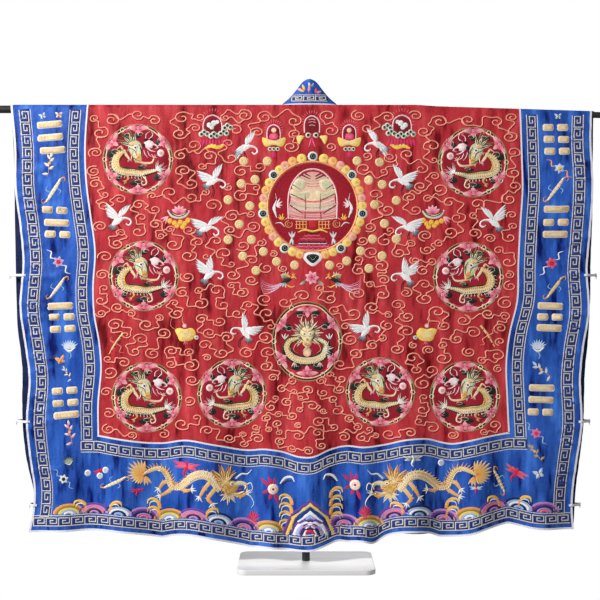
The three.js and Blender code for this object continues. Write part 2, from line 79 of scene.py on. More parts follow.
# The white surroundings shine at 0.3 on the piece and at 1 where they are seen themselves
world = bpy.data.worlds.new("studio")
world.use_nodes = True
surroundings = world.node_tree.nodes["Background"]
surroundings.inputs["Color"].default_value = (1, 1, 1, 1)
seen = world.node_tree.nodes.new("ShaderNodeLightPath")
brightness = world.node_tree.nodes.new("ShaderNodeMath")
brightness.operation = "MULTIPLY_ADD"
brightness.inputs[1].default_value = 0.70
brightness.inputs[2].default_value = 0.30
world.node_tree.links.new(seen.outputs["Is Camera Ray"], brightness.inputs[0])
world.node_tree.links.new(brightness.outputs[0], surroundings.inputs["Strength"])
bpy.context.scene.world = world
bpy.context.scene.view_settings.view_transform = "Standard"


# The red ground of the back: crimson satin in two halves, lined with navy. It hangs from the
# crossbar straight down for half its length and then opens into soft folds towards the hem.
BACK = -1
FRONT = 1
BAR_HEIGHT = 1.4225
BAR_RADIUS = 0.012
EXTENSION_RADIUS = 0.0096
DROOP_START = 0.34
DROOP = 0.031
BAR_CLEARANCE = 0.0004
HANG_DEPTH = 0.0136
HANG_REACH = 0.04
THINNING_REACH = 0.08
OVER_BAR_LENGTH = 0.021
CLOTH_THICKNESS = 0.002
FOLD_FOOT = 0.1
FOLD_FADE = 1.3
FOLD_LIMIT = 1.1
FLUTTER_DEPTH = 0.009
FLUTTER_PERIOD = 0.39
FLUTTER_START = 0.7
FLUTTER_FULL = 0.9
CENTRE_BACK = -0.003
# Tables of places are in millimetres. Each fold: x at the hem, half width, depth at the hem,
# height where it starts
FOLDS = {
    BACK: [
        (-756, 85, 16, 518), (-570, 112, 22, 700),
        (-307, 130, 36, 850), (-105, 62, 24, 560),
        (15, 100, 34, 760), (180, 50, 22, 500),
        (329, 90, 36, 780), (527, 96, 32, 720),
        (729, 93, 24, 650),
    ],
    FRONT: [
        (-650, 120, 28, 800), (-430, 100, 36, 700),
        (-240, 85, 26, 620), (240, 90, 30, 640),
        (440, 105, 36, 820), (680, 115, 28, 700),
    ],
}
# Seams and edges are (height, x) rows from the hem up, hems (x, height) rows
LEFT_SEAM_ROWS = [
    (112, -710), (239, -708), (316, -701), (360, -682), (406, -645, "corner"), (502, -646), (626, -637),
    (688, -642), (790, -659), (859, -662), (983, -656), (1091, -670), (1184, -682), (1293, -687),
    (1435, -679),
]
RIGHT_SEAM_ROWS = [
    (124, 685), (239, 682), (332, 676), (372, 660), (415, 631, "corner"), (518, 626), (642, 623),
    (719, 632), (828, 657), (936, 660), (1060, 666), (1169, 673), (1293, 670), (1423, 666),
]
BACK_HEM_SEAM_ROWS = [
    (-645, 406), (-580, 395), (-474, 383), (-443, 383), (-378, 392), (-282, 378), (-170, 361), (-136, 364),
    (-81, 358), (-19, 341), (19, 341), (74, 363), (124, 374), (177, 370), (245, 378), (313, 394),
    (384, 395), (418, 386), (446, 381), (508, 391), (552, 401), (631, 415),
]
# Creases: x and height of both ends, half width, depth outwards
CREASES = {
    BACK: [
        (-620, 1420, -550, 1200, 22, 2.8), (-430, 1420, -470, 1100, 26, 3),
        (-310, 1420, -270, 1240, 16, 2.2), (-200, 1420, -230, 1160, 20, 2.6),
        (-80, 1420, -100, 1300, 14, 1.8), (90, 1420, 120, 1220, 18, 2.2),
        (220, 1420, 200, 1050, 24, 3), (370, 1410, 400, 1230, 18, 2.4),
        (500, 1410, 470, 1140, 24, 3), (600, 1410, 620, 1260, 16, 2.2),
        (-500, 1020, -540, 620, 30, 3), (-360, 950, -410, 460, 30, 3.6),
        (-150, 860, -190, 420, 24, 3.4), (60, 800, 90, 400, 22, 3),
        (260, 920, 230, 440, 28, 3.6), (440, 1000, 430, 460, 26, 3.4),
        (580, 900, 560, 480, 22, 2.6), (-600, 740, -580, 440, 20, 2.6),
    ],
    FRONT: [
        (-560, 1410, -520, 1080, 26, 3), (-340, 1410, -380, 1160, 20, 2.6),
        (-200, 1400, -180, 1020, 22, 2.8), (240, 1400, 270, 1120, 20, 2.6),
        (420, 1400, 380, 1000, 26, 3), (580, 1400, 600, 1160, 18, 2.4),
        (-480, 900, -520, 440, 28, 3.4), (-300, 840, -280, 420, 22, 2.8),
        (300, 860, 330, 420, 26, 3.4), (540, 940, 520, 460, 26, 3.2),
    ],
}
PUCKER_FOOT = 900
FRONT_PUCKER_SHIFT = 23
# Puckers of the side borders: edge they start from, height, reach, tilt, half width, depth
PUCKERS = [
    (-1, 1395, 100, 0.30, 10, 2.6), (-1, 1335, 140, -0.20, 13, 3.4), (-1, 1262, 90, 0.12, 9, 2.4),
    (-1, 1214, 160, 0.25, 14, 3.8), (-1, 1150, 110, -0.15, 10, 3), (-1, 1104, 170, 0.10, 12, 3.4),
    (-1, 1046, 120, -0.28, 14, 3.6), (-1, 987, 150, 0.20, 11, 3), (-1, 930, 100, -0.08, 9, 2.6),
    (-1, 886, 170, 0.16, 15, 4), (-1, 822, 120, -0.22, 11, 3.2), (-1, 769, 160, 0.06, 13, 3.6),
    (-1, 704, 100, 0.28, 9, 2.6), (-1, 655, 170, -0.12, 14, 3.8), (-1, 590, 130, 0.18, 11, 3),
    (-1, 538, 160, -0.20, 13, 3.6), (-1, 474, 110, 0.10, 10, 2.8), (-1, 420, 150, 0.30, 14, 3.4),
    (-1, 352, 120, -0.16, 11, 3), (-1, 287, 160, 0.12, 13, 3.4), (1, 1372, 120, -0.26, 12, 3),
    (1, 1318, 90, 0.16, 9, 2.4), (1, 1256, 150, -0.14, 14, 3.6), (1, 1196, 110, 0.22, 10, 2.8),
    (1, 1140, 160, -0.20, 13, 3.6), (1, 1082, 120, 0.10, 11, 3), (1, 1030, 150, -0.30, 14, 3.8),
    (1, 962, 100, 0.14, 10, 2.6), (1, 910, 160, -0.10, 13, 3.6), (1, 850, 130, 0.26, 11, 3),
    (1, 790, 160, -0.18, 14, 4), (1, 734, 110, 0.12, 10, 2.8), (1, 678, 150, -0.24, 12, 3.4),
    (1, 612, 120, 0.08, 11, 3), (1, 560, 160, -0.14, 14, 3.6), (1, 494, 100, 0.24, 9, 2.6),
    (1, 446, 150, -0.22, 13, 3.4), (1, 372, 120, 0.14, 11, 3), (1, 302, 160, -0.10, 13, 3.4),
    (1, 240, 110, 0.18, 10, 2.6),
]


def curve_through(rows):
    """A smooth curve through (position, value) rows, sharp at a corner, level past both ends."""
    places, values = np.array([row[:2] for row in rows]).T / 1000
    slopes = np.diff(values) / np.diff(places)
    last = len(rows) - 1

    def tangent(k, segment):
        if k in (0, last) or len(rows[k]) > 2:
            return slopes[segment]
        before = places[k] - places[k - 1]
        after = places[k + 1] - places[k]
        return (slopes[k - 1] * after + slopes[k] * before) / (before + after)

    leaving = np.array([tangent(k, k) for k in range(last)])
    arriving = np.array([tangent(k + 1, k) for k in range(last)])

    def curve(position):
        place = np.clip(position, places[0], places[-1])
        k = np.clip(np.searchsorted(places, place, side="right") - 1, 0, last - 1)
        span = places[k + 1] - places[k]
        t = (place - places[k]) / span
        blend = t * t * (3 - 2 * t)
        start_pull = t * (1 - t) ** 2 * span * leaving[k]
        end_pull = t * t * (t - 1) * span * arriving[k]
        return values[k] * (1 - blend) + values[k + 1] * blend + start_pull + end_pull

    return curve


left_seam = curve_through(LEFT_SEAM_ROWS)
right_seam = curve_through(RIGHT_SEAM_ROWS)
back_hem_seam = curve_through(BACK_HEM_SEAM_ROWS)


def smoothstep(value, low, high):
    share = np.clip((value - low) / (high - low), 0, 1)
    return share * share * (3 - 2 * share)


def bar_height(x):
    return BAR_HEIGHT - np.maximum(0, x - DROOP_START) * DROOP


def over_bar(x):
    return bar_height(x) + OVER_BAR_LENGTH


def cloth_radius(x):
    thinning = smoothstep(x, DROOP_START, DROOP_START + THINNING_REACH)
    return BAR_RADIUS + (EXTENSION_RADIUS - BAR_RADIUS) * thinning + BAR_CLEARANCE


def crease_depth(side, x, height):
    """How far the cloth stands out in its creases and in the puckers of its side borders."""
    depth = np.zeros(np.broadcast(x, height).shape)
    lines = list(CREASES[side])
    for edge, level, reach, tilt, half_width, rise in PUCKERS:
        start = level + (0 if side == BACK else FRONT_PUCKER_SHIFT)
        lines.append((edge * PUCKER_FOOT, start, edge * (PUCKER_FOOT - reach), start + tilt * reach,
                      half_width, rise))
    for x0, height0, x1, height1, half_width, rise in np.array(lines) / 1000:
        along = np.array([x1 - x0, height1 - height0])
        length = np.hypot(*along)
        along /= length
        t = ((x - x0) * along[0] + (height - height0) * along[1]) / length
        across = np.abs((x - x0) * along[1] - (height - height0) * along[0]) / half_width
        ridge = np.clip(1 - across * across, 0, 1) ** 2
        ends = np.clip(np.minimum(t + 0.12, 1 - t) * 4, 0, 1)
        depth = depth + rise * ridge * ends * ends * (3 - 2 * ends)
    return depth


def panel_depth(side, x, height):
    """How far the inner face of a panel hangs from the plane of the crossbar."""
    fall = smoothstep(bar_height(x) - height, 0, HANG_REACH)
    radius = cloth_radius(x)
    depth = radius + (HANG_DEPTH - radius) * fall
    for fold_x, half_width, fold_depth, top in np.array(FOLDS[side]) / 1000:
        across = np.minimum(np.abs(x - fold_x) / half_width, 1)
        down = np.clip((top - height) / (top - FOLD_FOOT), 0, FOLD_LIMIT)
        depth = depth + fold_depth * down ** FOLD_FADE * 0.5 * (1 + np.cos(math.pi * across))
    edge_share = smoothstep(np.abs(x), FLUTTER_START, FLUTTER_FULL)
    wave = 0.5 - 0.5 * np.cos(2 * math.pi * (bar_height(x) - height) / FLUTTER_PERIOD)
    depth = depth + FLUTTER_DEPTH * edge_share * wave * fall
    return depth + crease_depth(side, x, height) * fall


def panel_point(side, x, height, offset):
    """Points of a panel, offset outwards from its inner face, over the bar where they are high."""
    axis = bar_height(x)
    hanging = side * (panel_depth(side, x, height) + offset)
    angle = np.clip((height - axis) / OVER_BAR_LENGTH, 0, 1) * math.pi / 2
    radius = cloth_radius(x) + offset
    over = side * np.maximum(radius * np.cos(angle), 0.00015)
    y = np.where(height <= axis, hanging, over)
    z = np.where(height <= axis, height, axis + radius * np.sin(angle))
    return np.stack([x, y, z], axis=-1)


def at_level(value):
    return lambda position: np.full(np.shape(position), float(value))


def grid_lines(rails, start_shift, end_shift):
    """Lines between rails, each (rail before, rail after, share of the way, shift)."""
    lines = []
    for (start, steps), (end, _) in zip(rails, rails[1:]):
        lines += [[start, end, step / steps, 0] for step in range(steps)]
    lines.append([rails[-1][0], rails[-1][0], 0, end_shift])
    lines[0][3] = start_shift
    return lines


def cross_grid(stations, levels, left, right, foot, head):
    """x and height where the lines up meet the lines across."""
    columns = grid_lines(stations, left, right)
    rows = grid_lines(levels, foot, head)
    x = np.zeros((len(columns), len(rows)))
    height = np.array([[start(0.0) * (1 - share) + end(0.0) * share for start, end, share, _ in rows]]
                      * len(columns))
    for _ in range(8):
        for i, (start, end, share, shift) in enumerate(columns):
            x[i] = start(height[i]) * (1 - share) + end(height[i]) * share + shift
        for j, (start, end, share, shift) in enumerate(rows):
            height[:, j] = start(x[:, j]) * (1 - share) + end(x[:, j]) * share + shift
    return x, height


def solid_mesh(name, points, faces, materials):
    mesh = bpy.data.meshes.new(name)
    mesh.from_pydata(points, [], faces)
    mesh.polygons.foreach_set("use_smooth", [True] * len(mesh.polygons))
    mesh.set_sharp_from_angle(angle=math.radians(50))
    for material in materials:
        mesh.materials.append(material)
    piece = bpy.data.objects.new(name, mesh)
    bpy.context.scene.collection.objects.link(piece)
    return piece


def shell_faces(columns, rows, side):
    """Faces of a closed wall: the outer grid first, then the rims, then the inner grid."""
    out = np.arange(columns * rows).reshape(columns, rows)
    inn = out + columns * rows

    def quads(a, b, c, d):
        return np.stack([a, b, c, d], axis=-1).reshape(-1, 4)

    outer = quads(out[:-1, :-1], out[1:, :-1], out[1:, 1:], out[:-1, 1:])
    inner = quads(inn[:-1, :-1], inn[:-1, 1:], inn[1:, 1:], inn[1:, :-1])
    rims = np.concatenate([
        quads(inn[:-1, 0], inn[1:, 0], out[1:, 0], out[:-1, 0]),
        quads(inn[:-1, -1], out[:-1, -1], out[1:, -1], inn[1:, -1]),
        quads(inn[0, :-1], out[0, :-1], out[0, 1:], inn[0, 1:]),
        quads(inn[-1, :-1], inn[-1, 1:], out[-1, 1:], out[-1, :-1]),
    ])
    faces = np.concatenate([outer, rims, inner])
    if side == FRONT:
        faces = faces[:, ::-1]
    return faces.tolist(), len(outer) + len(rims)


# The pieces of the robe by their nodes, and the materials of each slot: outside, lining
robe = {}
cloths = {}


def put_on(piece, node):
    """Puts a piece in the place of its plain solid."""
    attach(piece, "root")
    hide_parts(node)
    robe[node] = piece
    return piece


def cloth_shell(node, slot, side, stations, levels, shifts=(0, 0, 0, 0), thickness=CLOTH_THICKNESS,
                point=panel_point):
    """A cloth wall between rails, with the lining as its second material."""
    x, height = cross_grid(stations, levels, *shifts)
    faces, outer_count = shell_faces(*x.shape, side)
    vertices = np.concatenate([point(side, x, height, offset).reshape(-1, 3) for offset in (thickness, 0)])
    piece = solid_mesh("robe_" + node.removeprefix("back_"), vertices.tolist(), faces, cloths[slot])
    if len(cloths[slot]) > 1:
        slots = [0] * outer_count + [1] * (len(faces) - outer_count)
        piece.data.polygons.foreach_set("material_index", slots)
    put_on(piece, node)


class Value:
    """One socket of a material, so that a sum on it reads as a sum and adds its own nodes."""

    def __init__(self, finish, socket):
        self.finish = finish
        self.socket = socket

    def math(self, operation, *others):
        return self.finish.node("ShaderNodeMath", {"operation": operation}, (self, *others))

    def __add__(self, other):
        return self.math("ADD", other)

    def __sub__(self, other):
        return self.math("SUBTRACT", other)

    def __rsub__(self, other):
        return self.math("MULTIPLY", -1).math("ADD", other)

    def __mul__(self, other):
        return self.math("MULTIPLY", other)

    def sine(self):
        return self.math("SINE")


class Finish:
    """A material with one way of making its nodes."""

    def __init__(self, name):
        self.material = bpy.data.materials.new(name)
        self.material.use_nodes = True
        self.tree = self.material.node_tree
        self.surface = self.tree.nodes["Principled BSDF"]

    def feed(self, socket, value):
        if isinstance(value, Value):
            self.tree.links.new(value.socket, socket)
        else:
            socket.default_value = value

    def node(self, kind, settings, values, output=0):
        """Adds a node: its settings first, then its sockets, in a row or by their names."""
        made = self.tree.nodes.new(kind)
        for name, value in settings.items():
            setattr(made, name, value)
        rows = values.items() if isinstance(values, dict) else enumerate(values)
        for key, value in rows:
            self.feed(made.inputs[key], value)
        return Value(self, made.outputs[output])

    def place(self):
        """The x, y and z of the point on the piece."""
        coords = self.node("ShaderNodeTexCoord", {}, {}, "Object")
        split = self.tree.nodes.new("ShaderNodeSeparateXYZ")
        self.feed(split.inputs[0], coords)
        return coords, [Value(self, socket) for socket in split.outputs]

    def noise(self, coords, scale, detail=2.0):
        return self.node("ShaderNodeTexNoise", {}, {"Vector": coords, "Scale": scale, "Detail": detail})

    def stretched(self, coords, scale):
        return self.node("ShaderNodeMapping", {}, {"Vector": coords, "Scale": scale})

    def blend(self, share, first, second):
        """A colour between two, by a share from 0 to 1."""
        made = self.tree.nodes.new("ShaderNodeMix")
        made.data_type = "RGBA"
        self.feed(made.inputs["Factor"], share)
        self.feed(made.inputs[6], first)
        self.feed(made.inputs[7], second)
        return Value(self, made.outputs[2])

    def bump(self, height, distance, strength=1.0):
        self.feed(self.surface.inputs["Normal"], self.node("ShaderNodeBump", {}, {
            "Height": height, "Distance": distance, "Strength": strength,
        }))

    def set(self, **values):
        for name, value in values.items():
            self.feed(self.surface.inputs[name.replace("_", " ")], value)


def satin_finish(name, dark, middle, light, weave_pitch, roughness):
    """Satin: fine warp threads, slubs along the weft and cloudy worn patches, with the sheen and the shade
    of its folds painted into the colour.
    """
    finish = Finish(name)
    coords, (x, y, z) = finish.place()
    warp = (x * (2 * math.pi / weave_pitch)).sine()
    weft = (z * (2 * math.pi / (weave_pitch * 1.7))).sine()
    slub_and_sheen = finish.noise(finish.stretched(coords, (60, 1, 900)), 1.0, 1.0)
    cloudy = finish.noise(coords, 9.0, 3.0)
    wear_and_sheen = finish.noise(finish.stretched(coords, (30, 30, 8)), 1.0, 3.0)
    # The first colour is painted shade and the last painted sheen: cloudy noise mixes in the shade, and
    # slubs and worn patches the sheen.
    base = finish.blend(cloudy * 1.5, dark, middle)
    color = finish.blend((slub_and_sheen * 0.45 + wear_and_sheen * 0.55 - 0.25) * 1.1, base, light)
    puckers = finish.noise(finish.stretched(coords, (26, 26, 15)), 1.0, 2.0)
    sheen_and_shade_streaks = finish.noise(finish.stretched(coords, (34, 34, 7)), 1.0, 4.0)
    # Bands of painted sheen and painted shade stand in for the glints of the satin and the shade in its
    # folds.
    color = finish.blend((sheen_and_shade_streaks - 0.53) * 5.0, color, light)
    color = finish.blend((0.46 - sheen_and_shade_streaks) * 8.0, color, dark)
    finish.set(Base_Color=color, Roughness=cloudy * 0.16 + slub_and_sheen * 0.08 + (roughness - 0.12))
    finish.bump(warp * 0.01 + weft * 0.01 + slub_and_sheen * 0.02 + wear_and_sheen * 0.08 + puckers * 0.9, 0.008, 0.8)
    finish.set(Specular_IOR_Level=0.10)
    return finish.material


# For each satin the first colour is its painted shade, the second its own colour, the third its painted
# sheen.
red_satin = satin_finish("red_satin_cloth", (0.14, 0.001, 0.003, 1), (0.46, 0.016, 0.028, 1),
                         (0.66, 0.070, 0.080, 1), 0.0011, 0.40)
navy_lining = satin_finish("navy_lining", (0.006, 0.010, 0.045, 1), (0.010, 0.017, 0.070, 1),
                           (0.016, 0.026, 0.095, 1), 0.0009, 0.62)
cloths["red_satin"] = [red_satin, navy_lining]

GROUND_STEPS = 78
BODY_STEPS = 112
OVER_BAR_STEPS = 6
HALF_PIPING = 0.0025

to_shoulder = [(bar_height, OVER_BAR_STEPS), (over_bar, 0)]
back_ground_levels = [(back_hem_seam, BODY_STEPS), *to_shoulder]
centre_back = at_level(CENTRE_BACK)
cloth_shell("back_ground_left", "red_satin", BACK, [(left_seam, GROUND_STEPS), (centre_back, 0)],
            back_ground_levels, (HALF_PIPING, 0, HALF_PIPING, 0))
cloth_shell("back_ground_right", "red_satin", BACK, [(centre_back, GROUND_STEPS), (right_seam, 0)],
            back_ground_levels, (0, -HALF_PIPING, HALF_PIPING, 0))


# The blue borders of the back: royal-blue satin down both sides and along the hem, mitred at the
# lower corners of the red and sewn to it under the piping.
LEFT_EDGE_ROWS = [
    (112, -854), (170, -843), (239, -840), (332, -852), (440, -862), (595, -856), (688, -868), (797, -882),
    (946, -874), (1060, -884), (1169, -897), (1293, -899), (1435, -913),
]
RIGHT_EDGE_ROWS = [
    (124, 825), (170, 822), (239, 825), (332, 837), (440, 851), (586, 848), (673, 856), (790, 873),
    (927, 868), (1014, 876), (1169, 885), (1339, 880), (1420, 884),
]
BACK_HEM_ROWS = [
    (-849, 113), (-747, 115), (-651, 118), (-546, 110), (-484, 101), (-446, 95, "corner"), (-406, 102),
    (-356, 104), (-282, 93), (-205, 74), (-170, 65, "corner"), (-127, 65), (-19, 57), (19, 59), (59, 71),
    (99, 84), (130, 81), (174, 84), (214, 79), (242, 96), (291, 112), (338, 115), (384, 110),
    (415, 98, "corner"), (453, 99), (508, 107), (552, 121), (628, 140, "corner"), (694, 126), (825, 122),
]
LEFT_CORNER_HEIGHT = 0.406
RIGHT_CORNER_HEIGHT = 0.415
BORDER_STEPS = 26
HEM_STEPS = 40

left_edge = curve_through(LEFT_EDGE_ROWS)
right_edge = curve_through(RIGHT_EDGE_ROWS)
back_hem = curve_through(BACK_HEM_ROWS)
# The darkest and lightest blues are painted shade and painted sheen.
blue_satin = satin_finish("blue_satin_cloth", (0.001, 0.007, 0.11, 1), (0.012, 0.066, 0.40, 1),
                          (0.058, 0.20, 0.70, 1), 0.0012, 0.36)
cloths["blue_satin"] = [blue_satin, navy_lining]


def side_levels(hem, corner_height):
    return [(hem, HEM_STEPS), (at_level(corner_height), BODY_STEPS), *to_shoulder]


back_width = [(left_seam, GROUND_STEPS), (centre_back, GROUND_STEPS), (right_seam, 0)]
cloth_shell("back_border_left", "blue_satin", BACK, [(left_edge, BORDER_STEPS), (left_seam, 0)],
            side_levels(back_hem, LEFT_CORNER_HEIGHT), (0, -HALF_PIPING, 0, 0))
cloth_shell("back_border_right", "blue_satin", BACK, [(right_seam, BORDER_STEPS), (right_edge, 0)],
            side_levels(back_hem, RIGHT_CORNER_HEIGHT), (HALF_PIPING, 0, 0, 0))
cloth_shell("back_border_hem", "blue_satin", BACK, back_width, [(back_hem, HEM_STEPS), (back_hem_seam, 0)],
            (-HALF_PIPING, HALF_PIPING, 0, -HALF_PIPING))


# Piping and binding: white cotton, folded over a cord between the red and the blue, and folded
# round the whole outer edge of the back.
PIPING_THICKNESS = 0.003
BINDING_WIDTH = 0.0062


def cotton_finish(name, color, shadow):
    """Plain cotton: a square weave, greyer in patches from handling and from painted shade."""
    finish = Finish(name)
    coords, (x, y, z) = finish.place()
    threads = (x * (2 * math.pi / 0.0009)).sine() * (z * (2 * math.pi / 0.0009)).sine()
    handling_and_shade = finish.noise(coords, 22.0, 3.0)
    # The patches grey towards the shadow colour, a painted shade.
    finish.set(Base_Color=finish.blend(handling_and_shade * 0.8, color, shadow), Roughness=handling_and_shade * 0.1 + 0.78)
    finish.bump(threads * 0.5 + handling_and_shade, 0.0004, 0.5)
    finish.set(Sheen_Weight=0.15, Specular_IOR_Level=0.3)
    return finish.material


# The bluish grey second colour is painted shade on the white cotton.
white_cotton = cotton_finish("white_cotton", (0.86, 0.86, 0.90, 1), (0.60, 0.60, 0.70, 1))
cloths["white_binding"] = [white_cotton]
seam_strip = (-HALF_PIPING, HALF_PIPING)


def narrow(line):
    """The rails of a strip that is shifted to both sides of one line."""
    return [(line, 1), (line, 1), (line, 0)]


cloth_shell("back_piping_left", "white_binding", BACK, narrow(left_seam), back_ground_levels,
            (*seam_strip, 0, 0), PIPING_THICKNESS)
cloth_shell("back_piping_right", "white_binding", BACK, narrow(right_seam), back_ground_levels,
            (*seam_strip, 0, 0), PIPING_THICKNESS)
cloth_shell("back_piping_hem", "white_binding", BACK, back_width, narrow(back_hem_seam),
            (*seam_strip, *seam_strip), PIPING_THICKNESS)
cloth_shell("back_binding_left", "white_binding", BACK, narrow(left_edge),
            [(back_hem, 1), *side_levels(back_hem, LEFT_CORNER_HEIGHT)],
            (-BINDING_WIDTH, 0, -BINDING_WIDTH, 0))
cloth_shell("back_binding_right", "white_binding", BACK, narrow(right_edge),
            [(back_hem, 1), *side_levels(back_hem, RIGHT_CORNER_HEIGHT)],
            (0, BINDING_WIDTH, -BINDING_WIDTH, 0))
cloth_shell("back_binding_hem", "white_binding", BACK,
            [(left_edge, BORDER_STEPS), *back_width[:2], (right_seam, BORDER_STEPS), (right_edge, 0)],
            [(back_hem, 1), (back_hem, 0)], (0, 0, -BINDING_WIDTH, 0))


# The two front panels: cut and lined like the back, with the same borders, and left open down
# the middle. They hang against the wall side of the stand.
FRONT_LEFT_EDGE_ROWS = [
    (115, -846), (223, -851), (332, -876), (425, -888), (518, -890), (611, -888), (673, -894), (735, -903),
    (828, -908), (1014, -910), (1138, -913), (1293, -916), (1435, -922),
]
FRONT_RIGHT_EDGE_ROWS = [
    (124, 839), (239, 845), (332, 858), (440, 871), (518, 872), (611, 874), (704, 884), (828, 892),
    (952, 892), (1138, 899), (1420, 899),
]
FRONT_HEM_ROWS = [
    (-849, 121), (-484, 118), (-19, 80), (242, 95), (276, 96), (415, 96), (552, 128), (628, 150),
    (825, 128),
]
FRONT_HEM_SEAM_ROWS = [
    (-645, 406), (-420, 398), (-100, 362), (0, 352), (100, 358), (300, 388), (450, 392), (631, 415),
]
NECK_X = 0.011
OPENING_WIDTH = 0.010
BAND_WIDTH = 0.082
FRONT_GROUND_STEPS = 60

front_left_edge = curve_through(FRONT_LEFT_EDGE_ROWS)
front_right_edge = curve_through(FRONT_RIGHT_EDGE_ROWS)
front_hem = curve_through(FRONT_HEM_ROWS)
front_hem_seam = curve_through(FRONT_HEM_SEAM_ROWS)
band_edge = OPENING_WIDTH / 2 + BAND_WIDTH
front_widths = {
    "left": [(left_seam, FRONT_GROUND_STEPS), (at_level(NECK_X - band_edge), 0)],
    "right": [(at_level(NECK_X + band_edge), FRONT_GROUND_STEPS), (right_seam, 0)],
}
for name, stations in front_widths.items():
    cloth_shell(f"front_ground_{name}", "red_satin", FRONT, stations,
                [(front_hem_seam, BODY_STEPS), *to_shoulder])
    cloth_shell(f"front_border_hem_{name}", "blue_satin", FRONT, stations,
                [(front_hem, HEM_STEPS), (front_hem_seam, 0)])
cloth_shell("front_border_left", "blue_satin", FRONT, [(front_left_edge, BORDER_STEPS), (left_seam, 0)],
            side_levels(front_hem, LEFT_CORNER_HEIGHT))
cloth_shell("front_border_right", "blue_satin", FRONT, [(right_seam, BORDER_STEPS), (front_right_edge, 0)],
            side_levels(front_hem, RIGHT_CORNER_HEIGHT))


# The bands of the front opening run up past the bar and meet the neckband, which stands at the
# back of the neck as a pointed arch.
COLLAR_HEIGHT = 0.080
COLLAR_PIPING_HEIGHT = 0.004
COLLAR_LEAN = 0.0034
SEAM_GAP = 0.0003
COLLAR_PROFILE = [(0, 90), (24, 61), (38, 49), (54, 36), (68, 25), (76, 16), (80, 8)]
collar_half_width = curve_through(COLLAR_PROFILE)


def shoulder_height(x):
    return bar_height(x) + cloth_radius(x) + CLOTH_THICKNESS


def collar_tip(x):
    return shoulder_height(x) + COLLAR_HEIGHT


def band_depth_above_bar(x, height):
    rise = height - shoulder_height(x)
    return cloth_radius(x) - COLLAR_LEAN * smoothstep(rise, 0, COLLAR_HEIGHT)


def band_point(side, x, height, offset):
    hanging = side * (panel_depth(side, x, height) + offset)
    rising = band_depth_above_bar(x, height) + offset
    y = np.where(height <= bar_height(x), hanging, rising)
    return np.stack([x, y, height], axis=-1)


def band_outline(height):
    rise = height - shoulder_height(np.full(np.shape(height), NECK_X))
    return np.where(rise <= 0, band_edge, np.minimum(band_edge, collar_half_width(rise)))


band_levels = [
    (front_hem, HEM_STEPS), (front_hem_seam, BODY_STEPS), (bar_height, 2), (shoulder_height, 12),
    (collar_tip, 0),
]
cloth_shell("front_band_left", "blue_satin", FRONT,
            [(lambda height: NECK_X - band_outline(height), 10),
             (at_level(NECK_X - OPENING_WIDTH / 2), 0)], band_levels, point=band_point)
cloth_shell("front_band_right", "blue_satin", FRONT,
            [(at_level(NECK_X + OPENING_WIDTH / 2), 10),
             (lambda height: NECK_X + band_outline(height), 0)], band_levels, point=band_point)


def collar_point(across, rise, offset):
    """Points of the neckband: across from -1 to 1, rise from its foot."""
    height = shoulder_height(NECK_X) + rise
    x = NECK_X + across * collar_half_width(rise)
    depth = (band_depth_above_bar(NECK_X, height) - SEAM_GAP) * across * across
    nearest = np.maximum(depth - PIPING_THICKNESS, 0)
    top = cloth_radius(NECK_X) + CLOTH_THICKNESS
    fall_away = top - np.sqrt(top * top - nearest * nearest)
    z = height + SEAM_GAP - fall_away * (1 - rise / COLLAR_HEIGHT)
    return np.stack([x, depth - offset, z], axis=-1)


def collar_strip(node, slot, start, end, steps, thickness):
    across, rise = np.meshgrid(np.linspace(-1, 1, 41), np.linspace(start, end, steps + 1), indexing="ij")
    faces, _ = shell_faces(*across.shape, BACK)
    vertices = np.concatenate([collar_point(across, rise, offset).reshape(-1, 3)
                               for offset in (thickness, 0)])
    put_on(solid_mesh("robe_" + node, vertices.tolist(), faces, cloths[slot][:1]), node)


collar_strip("collar", "blue_satin", COLLAR_PIPING_HEIGHT, COLLAR_HEIGHT, 22, CLOTH_THICKNESS)
collar_strip("collar_piping", "white_binding", 0, COLLAR_PIPING_HEIGHT, 2, PIPING_THICKNESS)


# The stand: powder-coated steel tube, with a thinner length plugged into the right end, on a
# white-lacquered steel plate.
def coated_finish(name, color, worn, roughness):
    finish = Finish(name)
    coords, _ = finish.place()
    peel = finish.noise(coords, 900.0, 1.0)
    rubbed = finish.noise(finish.stretched(coords, (4, 40, 40)), 1.0, 4.0)
    finish.set(Base_Color=finish.blend(rubbed * 0.7, color, worn),
               Roughness=rubbed * 0.2 + (roughness - 0.1))
    finish.bump(peel, 0.0002, 0.25)
    return finish.material


black_coat = coated_finish("black_coat", (0.008, 0.008, 0.009, 1), (0.024, 0.024, 0.026, 1), 0.42)
white_coat = coated_finish("white_coat", (0.82, 0.82, 0.82, 1), (0.72, 0.72, 0.71, 1), 0.45)
for node in ("crossbar", "crossbar_extension", "post"):
    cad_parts[node].material_slots[0].material = black_coat
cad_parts["base"].material_slots[0].material = white_coat


# Side ties: flat white cotton tape sewn to the outer faces of the back and the front, and tied
# halfway in a knot of three turns with two short cut ends.
# Each pair: height, gap between the smooth cloth and the tape
TIES = [(0.905, 0.0005), (0.450, -0.0003), (0.190, 0.0012)]
TIE_LAP = 0.012
TIE_BULGE = 0.012
TAPE_HALF = (0.0009, 0.0038)
KNOT_HALF = (0.0030, 0.0050)
TURN_RADIUS = 0.0011
UP = np.array([0.0, 0.0, 1.0])


